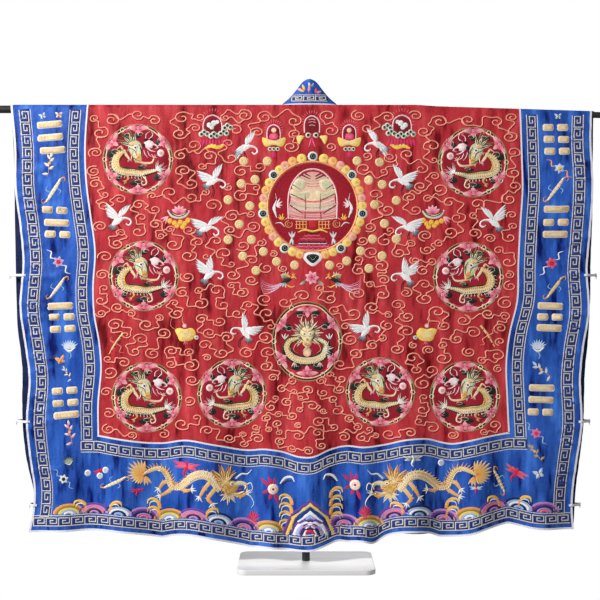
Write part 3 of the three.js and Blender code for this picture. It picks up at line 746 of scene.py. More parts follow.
def flowing(points, step, closed=False):
    """Points every step or so along a smooth line through the given ones."""
    points = np.asarray(points, float)
    if closed:
        ring = np.vstack([points[-1:], points, points[:2]])
    else:
        ring = np.vstack([2 * points[0] - points[1], points, 2 * points[-1] - points[-2]])
    rows = []
    for k in range(1, len(ring) - 2):
        p0, p1, p2, p3 = ring[k - 1:k + 3]
        count = max(1, round(math.hypot(*(p2 - p1)) / step))
        t = np.arange(count)[:, None] / count
        rows.append(p1 + 0.5 * ((p2 - p0) * t + (2 * p0 - 5 * p1 + 4 * p2 - p3) * t * t
                                + (3 * p1 - p0 - 3 * p2 + p3) * t ** 3))
    if not closed:
        rows.append(ring[-2:-1])
    return np.vstack(rows)


def swept(line, across, high, half_across, half_high, sides=10, closed=False):
    """Points and faces of a tube along a line. Across, high and the way ahead are at right
    angles, in that order."""
    turns = np.arange(sides) * 2 * math.pi / sides
    rings = (line[:, None] + across[:, None] * (half_across[:, None] * np.cos(turns))[..., None]
             + high[:, None] * (half_high[:, None] * np.sin(turns))[..., None])
    count = len(line)
    faces = [[k * sides + a, k * sides + (a + 1) % sides, (k + 1) % count * sides + (a + 1) % sides,
              (k + 1) % count * sides + a] for k in range(count if closed else count - 1)
             for a in range(sides)]
    if not closed:
        faces += [list(range(sides))[::-1], [(count - 1) * sides + a for a in range(sides)]]
    return rings.reshape(-1, 3), faces


def tie_tape(out, back_edge, front_edge, height, gap):
    """The parts of one tie: its tape, the turns of its knot and its two ends."""
    def lying(side, edge, beyond):
        x = edge + out * beyond
        depth = panel_depth(side, np.array(x), np.array(height)) + CLOTH_THICKNESS + gap + 0.001
        return [x, side * float(depth), height]

    far = max(out * back_edge, out * front_edge) + TIE_BULGE
    line = flowing([lying(BACK, back_edge, -TIE_LAP), lying(BACK, back_edge, 0.001), [out * far, 0, height],
                    lying(FRONT, front_edge, 0.001), lying(FRONT, front_edge, -TIE_LAP)], 0.0016)
    ahead = np.gradient(line, axis=0)
    ahead /= np.linalg.norm(ahead, axis=1)[:, None]
    across = np.cross(UP, ahead)
    from_knot = np.linalg.norm(line - [out * far, 0, height], axis=1)
    swell = np.clip(1 - (from_knot / 0.006) ** 2, 0, 1)
    half_across = TAPE_HALF[0] + (KNOT_HALF[0] - TAPE_HALF[0]) * swell
    half_high = TAPE_HALF[1] + (KNOT_HALF[1] - TAPE_HALF[1]) * swell
    parts = [swept(line, across, np.tile(UP, (len(line), 1)), half_across, half_high)]
    knot = np.argmin(from_knot)
    for lean, place in ((0.0014, -0.0024), (-0.0012, 0.0), (0.0014, 0.0024)):
        turns = np.arange(16)[:, None] * math.pi / 8
        middle = line[knot] + ahead[knot] * place
        loop = (middle + across[knot] * KNOT_HALF[0] * np.cos(turns)
                + (UP * KNOT_HALF[1] + ahead[knot] * lean) * np.sin(turns))
        spoke = loop - middle
        spoke /= np.linalg.norm(spoke, axis=1)[:, None]
        size = np.full(len(loop), TURN_RADIUS)
        parts.append(swept(loop, spoke, np.tile(-ahead[knot], (len(loop), 1)), size, size * 1.2, 6,
                           closed=True))
    for way in (-1, 1):
        fall = np.linspace(0, 1, 7)[:, None]
        end = (line[knot] + ahead[knot] * way * (0.002 + 0.005 * fall) - UP * 0.009 * fall ** 1.3
               + np.array([out * 0.0024, 0, -0.003]) * (1 - 0.4 * fall))
        size = np.ones(len(end))
        parts.append(swept(end, size[:, None] * (0, 1, 0), size[:, None] * (1, 0, 0),
                           size * 0.0019, size * 0.0006, 8))
    return parts


binding_room = BINDING_WIDTH + SEAM_GAP
left_ties, right_ties = [], []
for index, (height, gap) in enumerate(TIES, 1):
    for name, ties, out, back_edge, front_edge in (
            ("left", left_ties, -1, left_edge(height) - binding_room, front_left_edge(height)),
            ("right", right_ties, 1, right_edge(height) + binding_room,
             front_right_edge(height))):
        points, faces = [], []
        for part_points, part_faces in tie_tape(out, float(back_edge), float(front_edge), height, gap):
            faces += [[len(points) + corner for corner in face] for face in part_faces]
            points += part_points.tolist()
        tie = solid_mesh(f"robe_tie_{name}_{index}", points, faces, cloths["white_binding"])
        ties.append(put_on(tie, f"tie_{name}_{index}"))

# The fret bands: silver-gold cord couched in one running square key on navy ribbon, with a plain
# cord along its inner side. Two bands follow each side border and two the hem.
FRET_UNIT = 0.040
FRET_KEY = [
    (0.02, 0.04), (0.02, 0.94), (0.86, 0.94), (0.86, 0.34), (0.34, 0.34), (0.34, 0.66), (0.60, 0.66),
]
SUNK = -0.2
CORD_PROFILE = [(-1, 0), (0, 1), (1, 0)]
TAPE_PROFILE = [(-1, 0), (-0.93, 1), (0, 1), (0.93, 1), (1, 0)]


def dye(red, green, blue, metal=0.0):
    """A thread colour from its shade on screen, with its share of metal thread."""
    shades = [value / 255 for value in (red, green, blue)]
    return (*[v / 12.92 if v < 0.04045 else ((v + 0.055) / 1.055) ** 2.4 for v in shades], metal)


NAVY = dye(28, 48, 112)
SILVER = dye(206, 202, 196, 0.25)


def sideways(ahead):
    return np.stack([-ahead[:, 1], ahead[:, 0]], axis=1)


class Stitching:
    """Raised stitching on one face of the robe, gathered into one mesh. A motif is drawn in
    millimetres round its own middle."""

    def __init__(self, side=BACK, point=panel_point):
        self.side = side
        self.point = point
        self.rows = []
        self.dyes = []
        self.faces = []
        self.count = 0
        self.move_to(0, 0)

    def move_to(self, x, height, turn=0, mirror=False, size=1.0):
        """The next motif is stitched here."""
        angle = math.radians(turn)
        scale = size / 1000
        self.middle = np.array([x, height])
        self.across = np.array([math.cos(angle), math.sin(angle)]) * (-scale if mirror else scale)
        self.up = np.array([-math.sin(angle), math.cos(angle)]) * scale
        self.size = size

    def placed(self, points):
        points = np.asarray(points, float)
        return self.middle + points[:, :1] * self.across + points[:, 1:] * self.up

    def add(self, places, lifts, colors, faces):
        rows = np.column_stack([places.reshape(-1, 2), np.ravel(lifts) / 1000])
        self.rows.append(rows)
        self.dyes.append(np.asarray(colors, float).reshape(-1, 4))
        for group in faces:
            self.faces += (np.asarray(group) + self.count).tolist()
        self.count += len(rows)

    def ribbon(self, path, half_width, color, crown, lift=0.0, end_color=None, profile=CORD_PROFILE):
        """A closed band along a path in metres, with its sides sunk in the cloth."""
        ahead = np.diff(path, axis=0)
        ahead /= np.maximum(np.hypot(ahead[:, 0], ahead[:, 1]), 1e-9)[:, None]
        before = sideways(np.vstack([ahead[:1], ahead]))
        after = sideways(np.vstack([ahead, ahead[-1:]]))
        normal = before + after
        normal /= np.maximum(np.hypot(normal[:, 0], normal[:, 1]), 1e-6)[:, None]
        miter = 1 / np.maximum((normal * after).sum(axis=1), 0.62)
        n = len(path)
        shares = np.linspace(0, 1, n)
        knots = np.atleast_1d(half_width)
        half = np.interp(shares, np.linspace(0, 1, len(knots)), knots) * miter
        m = len(profile)
        across = np.array([-place for place, _ in profile])
        rise = np.array([SUNK + lift + (crown - SUNK) * share if share else SUNK for _, share in profile])
        places = path[:, None, :] + normal[:, None, :] * (half[:, None] * across)[:, :, None]
        tone = np.array(color) + shares[:, None] * (np.array(end_color or color) - color)
        grid = np.arange(n * m).reshape(n, m)
        tops = [np.stack([grid[:-1, k], grid[:-1, k + 1], grid[1:, k + 1], grid[1:, k]], axis=1)
                for k in range(m - 1)]
        foot = np.stack([grid[:-1, -1], grid[:-1, 0], grid[1:, 0], grid[1:, -1]], axis=1)
        self.add(places, np.tile(rise, n), np.repeat(tone, m, axis=0),
                 [*tops, foot, [grid[0, ::-1].tolist()], [grid[-1].tolist()]])

    def line(self, points, width, color, crown=0.9, lift=0.0, end_color=None, step=5.0, smooth=True,
             closed=False, profile=CORD_PROFILE):
        """Cord or satin stitch along points in millimetres, of one width or of several."""
        path = self.placed(flowing(points, step, closed) if smooth else points)
        if closed:
            path = np.vstack([path, path[:1]])
        half = np.atleast_1d(width) * self.size / 2000
        self.ribbon(path, half, color, crown, lift, end_color, profile)

    def patch(self, outline, color, crown=1.0, lift=0.0, heart=None, rings=2, step=4.0, smooth=True):
        """A filled shape, raised in the middle, shading to its heart colour."""
        edge = self.placed(flowing(outline, step, True) if smooth else outline)
        following = np.roll(edge, -1, axis=0)
        if (edge[:, 0] * following[:, 1] - edge[:, 1] * following[:, 0]).sum() < 0:
            edge = edge[::-1]
        n = len(edge)
        middle = edge.mean(axis=0)
        shares = [1.0, *[0.86 * (1 - k / rings) for k in range(rings)]]
        under = shares[1:] if rings > 3 else []
        places = np.vstack([middle + (edge - middle) * share for share in shares + under]
                           + [middle[None], middle[None]])
        rises = [SUNK] + [lift + crown * (1 - 0.45 * share * share) for share in shares[1:]]
        rises += [SUNK] * len(under)
        lifts = np.concatenate([np.repeat(rises, n), [lift + crown, SUNK]])
        tones = np.array([1 - share for share in shares + under] + [1, 0])
        heart = np.array(heart or color)
        tones = np.array(color) + tones[:, None] * (heart - color)
        counts = [n] * len(rises) + [1, 1]
        s = np.arange(n)
        t = (s + 1) % n
        bands = [np.stack([k * n + s, k * n + t, (k + 1) * n + t, (k + 1) * n + s], axis=1)
                 for k in range(rings)]
        below = [0, *range(rings + 1, len(rises))]
        bands += [np.stack([a * n + t, a * n + s, b * n + s, b * n + t], axis=1)
                  for a, b in zip(below, below[1:])]
        apex = len(rises) * n
        cap = np.stack([rings * n + s, rings * n + t, np.full(n, apex)], axis=1)
        foot = np.stack([below[-1] * n + t, below[-1] * n + s, np.full(n, apex + 1)], axis=1)
        self.add(places, lifts, np.repeat(tones, counts, axis=0), [*bands, cap, foot])

    def disc(self, x, y, radius, color, crown=1.0, lift=0.0, heart=None, sides=14, rings=2):
        turns = np.arange(sides) * 2 * math.pi / sides
        outline = np.column_stack([x + radius * np.cos(turns), y + radius * np.sin(turns)])
        self.patch(outline, color, crown, lift, heart, rings, smooth=False)

    def bead(self, x, y, radius, color, crown=1.0, lift=0.0, heart=None, sides=8):
        """A small disc that rises in one step."""
        self.disc(x, y, radius, color, crown, lift, heart, sides, 1)

    def sewn(self, name, node_slot):
        """The finished mesh, laid on the outer face of the cloth."""
        rows = np.vstack(self.rows)
        places = self.point(self.side, rows[:, 0], rows[:, 1], CLOTH_THICKNESS + rows[:, 2])
        faces = self.faces if self.side == BACK else [face[::-1] for face in self.faces]
        piece = solid_mesh(name, places.tolist(), faces, [silk_thread])
        layer = piece.data.color_attributes.new("silk", "FLOAT_COLOR", "POINT")
        layer.data.foreach_set("color", np.vstack(self.dyes).ravel())
        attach(piece, "root")
        return piece


def thread_finish(name, pitch, roughness):
    """Embroidery thread: its dye from the piece, fine stitches with painted shade along them, and a glint
    where it is metal.
    """
    finish = Finish(name)
    coords, (x, y, z) = finish.place()
    dyed = finish.tree.nodes.new("ShaderNodeVertexColor")
    dyed.layer_name = "silk"
    color, metal = [Value(finish, socket) for socket in dyed.outputs]
    stitches = ((x + z * 0.8) * (2 * math.pi / pitch)).sine()
    uneven = finish.noise(coords, 160.0, 2.0)
    # The colour is lightened and darkened along the stitches as painted shade on their ridges, and unevenly
    # at random.
    worn = finish.node("ShaderNodeVectorMath", {"operation": "SCALE"},
                       {"Vector": color, "Scale": uneven * 0.5 + stitches * 0.06 + 0.75})
    finish.set(Base_Color=worn, Metallic=metal * 0.6,
               Roughness=uneven * 0.2 - metal * 0.15 + (roughness - 0.1))
    finish.bump(stitches * 0.7 + uneven, 0.0003, 0.5)
    finish.set(Sheen_Weight=0.05, Specular_IOR_Level=0.25)
    return finish.material


silk_thread = thread_finish("silk_thread", 0.0014, 0.5)


def fret_band(sew, place, start, end, width, plain_side):
    """A band of running key. place gives x and height for a length and a distance across it."""
    def path(lengths, share):
        return np.column_stack(place(np.asarray(lengths), np.full(len(lengths), share * width)))

    lengths = np.arange(start, end + 0.003, 0.006)
    sew.ribbon(path(lengths, 0.5), width / 2, NAVY, 0.25, profile=TAPE_PROFILE)
    sew.ribbon(path(lengths, plain_side), 0.0016, SILVER, 0.9, 0.2)
    count = max(1, round((end - start) / FRET_UNIT))
    unit = (end - start) / count
    corners = np.array(FRET_KEY)
    points = []
    for (u0, v0), (u1, v1) in zip(corners, corners[1:]):
        steps = max(1, round(math.hypot((u1 - u0) * unit, (v1 - v0) * width) / 0.009))
        points += [(u0 + (u1 - u0) * k / steps, v0 + (v1 - v0) * k / steps) for k in range(steps)]
    points = np.array([*points, corners[-1]])
    for k in range(count):
        places = place(start + (k + points[:, 0]) * unit, (0.07 + points[:, 1] * 0.84) * width)
        sew.ribbon(np.column_stack(places), 0.0024, SILVER, 0.9, 0.25)
        foot = np.linspace(k, k + 1, 5) * unit + start
        sew.ribbon(path(foot, 0.1), 0.0024, SILVER, 0.9, 0.25)


def side_frets(sew, edge, seam, outwards, corner, hem, top):
    """The outer and inner bands of a side border."""
    def outer(length, across):
        return edge(length) - outwards * (0.016 + across), length

    def inner(length, across):
        return seam(np.maximum(length, corner)) + outwards * (0.016 + across), length

    fret_band(sew, outer, hem, top, 0.036, 1.06)
    fret_band(sew, inner, corner - 0.013, top, 0.034, 1.08)


back_frets = Stitching()
side_frets(back_frets, left_edge, left_seam, -1, LEFT_CORNER_HEIGHT, 0.155, 1.419)
side_frets(back_frets, right_edge, right_seam, 1, RIGHT_CORNER_HEIGHT, 0.165, 1.404)
fret_band(back_frets, lambda length, across: (
    length, back_hem_seam(np.clip(length, -0.645, 0.631)) - 0.0145 - across
), -0.699, 0.685, 0.034, 1.08)
fret_band(back_frets, lambda length, across: (length, back_hem(length) + 0.010 + across), -0.846, 0.820,
          0.032, 1.08)
back_frets = back_frets.sewn("fret_bands", "white_binding")


# Dragon medallions: eight round ones on the red ground, satin stitch in cream, sea green and peach
# inside a double couched ring with six pink peonies. The dragon chases a pearl.
MEDALLIONS = [
    # x, height, mirrored, size
    (-522, 1265, False, 1.0), (-504, 902, False, 1.0), (-494, 525, False, 1.0),
    (-229, 537, True, 0.98), (231, 542, False, 0.98), (520, 1256, True, 1.0),
    (505, 899, True, 1.0), (494, 528, True, 1.0),
]
CREAM = dye(244, 228, 192, 0.1)
STRAW = dye(236, 204, 142, 0.25)
HONEY = dye(244, 214, 152, 0.1)
OCHRE = dye(222, 164, 64, 0.4)
OLIVE = dye(150, 134, 84, 0.3)
BRONZE = dye(176, 136, 74, 0.1)
DARK = dye(30, 28, 26)
PINE = dye(26, 44, 38)
SAGE = dye(186, 196, 160)
MINT = dye(206, 214, 190)
PEACH = dye(236, 170, 128)
ROSE = dye(226, 118, 136)
BLUSH = dye(246, 200, 202)
CRIMSON = dye(214, 56, 96)
MAGENTA = dye(196, 40, 92)
WINE = dye(138, 14, 34)
WHITE = dye(240, 238, 236)
SHADE_RED = dye(104, 8, 20)


def turned(points, angle, x=0.0, y=0.0):
    """Points turned by an angle in degrees and carried to x, y."""
    points = np.asarray(points, float)
    turn = math.radians(angle)
    return np.column_stack([
        x + points[:, 0] * math.cos(turn) - points[:, 1] * math.sin(turn),
        y + points[:, 0] * math.sin(turn) + points[:, 1] * math.cos(turn),
    ])


def arc(radius, start, end, count=9, x=0.0, y=0.0):
    turns = np.radians(np.linspace(start, end, count))
    return np.column_stack([x + radius * np.cos(turns), y + radius * np.sin(turns)])


def petal(sew, x, y, angle, length, width, color, tip=None, crown=1.1, lift=0.3):
    """One leaf of satin stitch from x, y outwards, coloured from its root to its tip."""
    points = turned([(0, 0), (length * 0.5, 0), (length, 0)], angle, x, y)
    sew.line(points, [width * 0.25, width * 0.9, width, width * 0.7, width * 0.08], color, crown, lift, tip,
             step=length / 4)


def spikes(sew, x, y, angles, length, width, color, tip=None, lift=0.4):
    for count, angle in enumerate(angles):
        reach = length * (1.0 if count % 2 else 0.8)
        bend = 14 if count % 2 else -12
        points = [(0, 0), (reach * 0.5, 0), (reach, math.tan(math.radians(bend)) * reach * 0.5)]
        sew.line(turned(points, angle, x, y), [width, width * 0.8, width * 0.15], color, 1.0, lift, tip,
                 step=reach / 3)


def peony(sew, radius, angle):
    """Three pink petals and two buds, lying in the ring of a medallion."""
    middle = turned([(radius, 0)], angle)[0]
    for spread, length, width in ((90, 34, 17), (-90, 34, 17), (180, 24, 22)):
        petal(sew, *middle, angle + spread, length, width, CRIMSON, BLUSH)
    for spread in (55, -55, 128, -128):
        petal(sew, *middle, angle + spread, 19, 11, MAGENTA, ROSE, lift=0.5)
    sew.bead(*middle, 5, BLUSH, 0.8, 0.9, MAGENTA)


def medallion_ring(sew, stretch=1.0):
    """Two couched rings with a dark one between, and a curl knot between each two peonies."""
    peonies = (90, 146, 214, 270, 326, 34)
    for start, end in zip(peonies, (*peonies[1:], 394)):
        if end < start:
            end += 360
        for radius, color, width in ((108, OLIVE, 4.2), (104, DARK, 4.4), (100, CREAM, 3.4)):
            points = arc(radius, start, end, 11)
            sew.line(points * (1, stretch), width, color, 0.8 if color != DARK else 0.4)
        middle = (start + end) / 2
        knot = turned(arc(6.5, -150, 200, 9), middle, *turned([(103, 0)], middle)[0])
        sew.line(knot * (1, stretch), 3.0, CREAM, 1, 0.6, step=4)
    for angle in peonies:
        peony(sew, 98, angle)


def heading(path, k):
    """The way ahead and the way out to the left at one point of a path."""
    ahead = path[k + 1] - path[k - 1]
    ahead = ahead / np.linalg.norm(ahead)
    return ahead, np.array([-ahead[1], ahead[0]])


def scales(sew, body, half_width, color, pitch=6.0, lift=1.7):
    """Small crescents sewn over a body, one behind another."""
    path = flowing(body, pitch)
    for k in range(1, len(path) - 1):
        ahead, out = heading(path, k)
        for side in (-1, 0.05):
            near = path[k] + out * half_width * side
            far = near + out * half_width * 0.95
            tip = (near + far) / 2 + ahead * 3.4
            sew.line([near, tip, far], [0.8, 2.0, 0.8], color, 0.7, lift, smooth=False)


DRAGON_BODY = [
    (-38, 26), (-60, 14), (-72, -8), (-68, -28), (-46, -38), (-18, -41), (8, -44), (30, -39), (56, -34),
]


def dragon(sew):
    """A dragon facing right: its body winds from the mane down the left and along the foot."""
    sew.line(DRAGON_BODY, [18, 29, 32, 30, 32, 31, 29, 23, 14], PINE, 0.8, step=6, profile=TAPE_PROFILE)
    sew.line(DRAGON_BODY, [20, 34, 38, 36, 37, 38, 34, 25, 14], HONEY, 2.0, 0.0, CREAM, step=6)
    scales(sew, DRAGON_BODY, 8.5, BRONZE, lift=2.0)
    for x, y, color in ((-66, 8, PEACH), (-70, -22, MINT), (-40, -43, PEACH), (-4, -46, MINT),
                        (22, -44, PEACH), (-56, -34, MINT)):
        petal(sew, x, y, 200 + x, 13, 6, color, CREAM, 0.9, 1.7)
    sew.line([(-44, 18), (-56, 4), (-60, -12), (-54, -26), (-36, -32), (-10, -34), (14, -36), (40, -32)],
             [3, 6, 7, 7, 7, 6, 5, 2], OCHRE, 1.9, 0.2, step=6)
    spine = flowing([(-50, 30), (-74, 16), (-86, -8), (-80, -36), (-52, -52), (-20, -55), (10, -57),
                     (34, -50)], 11)
    for k in range(1, len(spine) - 1):
        out = spine[k] - (-15, 10)
        petal(sew, *spine[k] * 0.95, math.degrees(math.atan2(out[1], out[0])), 9, 5, WHITE, PEACH)
    sew.patch([(-32, 50), (-12, 62), (8, 52), (14, 30), (14, 4), (8, -10), (-8, -12), (-16, 6), (-28, 24)],
              SAGE, 1.4, 0.3, CREAM, step=8)
    sew.patch([(-8, 20), (10, 18), (12, -8), (-4, -10)], STRAW, 1.9, 0.3, OCHRE, step=8)
    sew.patch([(-30, 48), (-16, 56), (-4, 48), (-14, 38)], HONEY, 1.2, 1.2, PEACH, step=8)
    for x, y, angle, color in ((-26, 38, 250, PINE), (-14, 26, 240, PEACH), (4, 44, 280, HONEY),
                               (-4, 30, 265, OLIVE), (8, 28, 275, MINT), (-18, 14, 260, HONEY),
                               (-8, 2, 280, PINE)):
        petal(sew, x, y, angle, 17, 5, color, CREAM, 1, 1.6)
    spikes(sew, -14, 42, (168, 153, 139, 125, 111, 97, 82), 56, 9, PINE, OLIVE, 0.6)
    spikes(sew, -14, 42, (176, 160, 146, 132, 118, 104, 90, 74), 46, 7, MINT, CREAM)
    spikes(sew, 2, 34, (196, 182, 168), 40, 6, SAGE, WHITE)
    for path in ([(-32, 45), (-16, 43), (0, 38)], [(-24, 34), (-10, 27), (-4, 12)],
                 [(2, 46), (10, 30), (10, 8)], [(-16, 6), (-4, -2), (8, -6)]):
        sew.line(path, [3, 6, 2], PINE, 1.2, 1.8)
    sew.bead(-9, 37, 7.5, WHITE, 0.8, 2.0, sides=10)
    sew.bead(-8, 36, 3.6, DARK, 0.8, 2.6)
    sew.line([(-6, 2), (2, 6), (10, 3)], [2, 5, 2], MAGENTA, 1, 2.0)
    sew.line([(-52, 40), (-42, 22), (-28, 2)], [8, 15, 9], PEACH, 1.3, 0.5, CREAM)
    sew.line([(-66, 30), (-52, 40), (-46, 30)], [3, 7, 3], PEACH, 1.2, 0.7, CREAM)
    spikes(sew, -28, 2, (-20, -50, -80, -110), 13, 4.5, PEACH, WHITE)
    sew.line([(4, -8), (24, -12), (42, -10), (50, 2)], [9, 11, 9, 6], PEACH, 1.2, 0.4, CREAM)
    spikes(sew, 48, 4, (10, 40, 75, 110), 15, 4.5, PEACH, WHITE)
    sew.line([(-40, -44), (-30, -58), (-38, -68)], [12, 9, 4], PEACH, 1.2, 0.4, OCHRE)
    sew.line([(12, -50), (24, -62), (26, -76), (14, -80), (12, -70), (20, -68)], [8, 7, 6, 5, 4, 2], CREAM,
             1.2, 0.4)
    spikes(sew, -38, -66, (200, 240, 280), 13, 4.5, OCHRE, CREAM)
    sew.patch([(18, 52), (34, 60), (48, 54), (52, 42), (42, 34), (26, 34)], BLUSH, 1.6, 0.5, WHITE, step=7)
    sew.line([(44, 48), (56, 44), (62, 36), (52, 32)], [7, 8, 6, 2], BLUSH, 1.4, 0.6)
    sew.line([(30, 34), (42, 26), (54, 24)], [6, 5, 2], WHITE, 1.2, 0.5)
    for x, y, size in ((24, 60, 6), (40, 62, 5), (18, 44, 6), (48, 40, 4), (34, 46, 3.4)):
        sew.bead(x, y, size, DARK, 1, 1.1)
    sew.line([(24, 60), (26, 78), (38, 86)], [5, 4, 1.2], BLUSH, 1, 0.6)
    sew.line([(34, 62), (46, 74), (42, 90)], [4, 3.4, 1], WHITE, 1, 0.6)
    sew.line([(58, 38), (70, 46), (68, 62)], [3.4, 3, 1], BLUSH, 1, 0.6)
    sew.line([(18, 30), (22, 16), (32, 4)], [4, 5, 1.5], BLUSH, 1, 0.6)
    sew.line([(30, 26), (36, 12), (46, 8)], [3, 4, 1.2], WHITE, 1, 0.6)
    spikes(sew, 58, -34, (96, 74, 54, 36, 18, 0, -18), 32, 6, WHITE, MINT, 0.6)


def medallion(sew):
    sew.disc(0, 0, 98, WINE, 0.5, 0, dye(168, 22, 48), sides=48, rings=9)
    for x, y, width, height in ((-80, 16, 18, 14), (66, -56, 19, 12), (-8, -74, 22, 9), (-2, 74, 16, 9),
                                (62, 50, 10, 14), (-40, 72, 14, 8), (10, -24, 15, 6), (-62, -60, 10, 8)):
        outline = arc(1, 0, 300, 7) * (width, height) + (x, y)
        sew.patch(outline, PINE, 0.8, 0.3, DARK, rings=1, step=8)
        curl = arc(0.62, 0, 300, 7) * (width, height) + (x + width * 0.5, y + height * 0.5)
        sew.line(curl, 2.6, MINT, 1, 0.5, step=7)
    for x, y, angle in ((74, -30, 30), (-30, 84, 120), (-84, -38, 200), (40, -84, 300)):
        petal(sew, x, y, angle, 18, 8, MAGENTA, ROSE)
    medallion_ring(sew)
    dragon(sew)
    sew.disc(71, 19, 12, BLUSH, 1.5, 0.4, WHITE, sides=14)
    sew.bead(71, 19, 6, ROSE, 1.2, 1.3, PEACH, sides=10)


def sew_medallions(sew):
    for x, height, mirrored, size in MEDALLIONS:
        sew.move_to(x / 1000, height / 1000, 0, mirrored, size)
        medallion(sew)


medallions = Stitching()
sew_medallions(medallions)
medallions = medallions.sewn("dragon_medallions", "red_satin")


# Coins and cranes round the middle: coins of pale gold thread with a turned rim, and white cranes
# with grey-tipped wings, black tails and trailing legs.
COINS = [
    (-193, 1259), (-120, 1259), (-201, 1189), (-158, 1202), (-242, 1139), (-174, 1120), (-207, 1063),
    (-242, 1015), (-169, 1015), (-196, 964), (-132, 978), (-91, 947), (-155, 919), (-35, 936), (159, 1260),
    (229, 1256), (195, 1200), (237, 1187), (281, 1137), (214, 1124), (244, 1065), (207, 1017), (281, 1017),
    (170, 980), (237, 965), (127, 949), (74, 936), (196, 926),
]
# Each crane: x, height, mirrored, turn, angles of the two wings
CRANES = [
    (-186, 1308, False, 0, 238, 60), (-285, 1203, False, 0, 158, 66), (-304, 1057, False, -6, 166, 40),
    (-296, 914, False, 12, 128, 84), (-581, 1082, False, 10, 122, 40), (-192, 735, True, -24, 150, 66),
    (219, 1317, True, 0, 238, 60), (296, 1203, True, 0, 158, 66), (313, 1058, True, 6, 166, 40),
    (305, 908, True, -12, 128, 84), (580, 1076, True, -10, 122, 40), (189, 741, False, 24, 150, 66),
]
COIN_GOLD = dye(232, 200, 140, 0.35)
LEMON = dye(250, 228, 176, 0.3)
GREY = dye(176, 180, 190)
LEG_RED = dye(84, 10, 22)


def coin(sew):
    sew.disc(0, 0, 14.5, COIN_GOLD, 1.5, 0.2, LEMON, sides=16)
    sew.line(arc(10.5, 0, 330, 10), 2.2, LEMON, 1, 1.2, step=7)
    sew.line([(-6, 1), (0, 5), (6, 1), (0, -5)], 2.0, OCHRE, 1, 1.3, closed=True)


def wing(sew, x, y, angle, length, fan):
    """Feathers that overlap from the long front one to the short ones at the body."""
    for k in range(7):
        share = k / 6
        petal(sew, x - 5 * share, y - 4 * share, angle + fan * share, length * (1 - 0.45 * share), 11,
              WHITE, GREY if k % 2 else WHITE, 1.1, 0.3 + 0.08 * k)


def crane(sew, first_wing, second_wing):
    for k, angle in enumerate((196, 212, 228, 244, 260, 276)):
        petal(sew, -20, -16, angle, 26 - 2 * (k % 3), 9, GREY, DARK)
    for bend in (0, 5):
        sew.line([(-8, -18), (-4 + bend, -38), (-10 + bend, -60)], [3, 2.6, 1.6], LEG_RED, 0.9, 0.3)
    wing(sew, 0, 4, first_wing, 64, 34 if first_wing < 200 else -26)
    wing(sew, 6, 4, second_wing, 52, 30)
    sew.line([(-26, -20), (-8, -8), (12, 0)], [10, 24, 12], WHITE, 2.0, 0.6)
    sew.line([(8, -2), (24, -4), (36, -12), (37, -23), (27, -28), (19, -21)], [11, 7, 6, 6, 7, 4], WHITE,
             1.6, 0.6)
    sew.bead(26, -22, 3, dye(200, 30, 50), 1.0, 1.4, sides=7)
    sew.line([(20, -21), (12, -18)], [2.6, 0.8], DARK, 0.9, 0.6)


def sew_coins_and_cranes(sew, kept_clear):
    for x, height in np.array(COINS) / 1000:
        if abs(x - NECK_X) > kept_clear:
            sew.move_to(x, height)
            coin(sew)
    for x, height, mirrored, tilt, first_wing, second_wing in CRANES:
        sew.move_to(x / 1000, height / 1000, tilt, mirrored, 0.94)
        crane(sew, first_wing, second_wing)


coins_and_cranes = Stitching()
sew_coins_and_cranes(coins_and_cranes, 0)
coins_and_cranes = coins_and_cranes.sewn("coins_and_cranes", "red_satin")

# The front panels have the same medallions, coins and cranes, as far as the bands leave room.
front_motifs = Stitching(FRONT)
sew_medallions(front_motifs)
sew_coins_and_cranes(front_motifs, band_edge + 0.020)
front_motifs = front_motifs.sewn("front_motifs", "red_satin")


# The central roundel: a tiered pavilion on its terrace over clouds and waves, in cream, sea green
# and pink silk, inside a couched gold ring with a wreath of round petals.
YELLOW = dye(244, 206, 84, 0.1)
AMBER = dye(240, 160, 66, 0.1)
CARNATION = dye(226, 130, 140)
FOAM = dye(214, 222, 214)
IVORY = dye(240, 216, 176)
SALMON = dye(228, 110, 112)
DUSTY = dye(220, 150, 150)
MAROON = dye(122, 34, 34)
RING_GOLD = dye(240, 168, 112, 0.3)
# Petals of the right half of the wreath, by angle from the right; the left half mirrors them
WREATH = [
    (77, YELLOW), (66, AMBER), (56, CARNATION), (48, YELLOW), (29, YELLOW), (19, AMBER), (10, CARNATION),
    (1, YELLOW), (-18, YELLOW), (-28, AMBER), (-37, CARNATION), (-46, YELLOW), (-66, YELLOW), (-75, AMBER),
]
WREATH_CLOUDS = [90, 39, -8, -56]


def wreath_cloud(sew, angle, size=1.0):
    x, y = turned([(156, 0)], angle)[0]
    sew.disc(x, y, 16 * size, FOAM, 1.3, 0.2, sides=12)
    sew.bead(x, y, 11.5 * size, PINE, 1, 0.9, DARK, sides=10)
    for spread in (-70, 70, 180):
        curl = turned(arc(5 * size, -40, 200, 6), angle + spread, x, y)
        sew.line(curl, 2.2, FOAM, 1, 1.4, step=4)


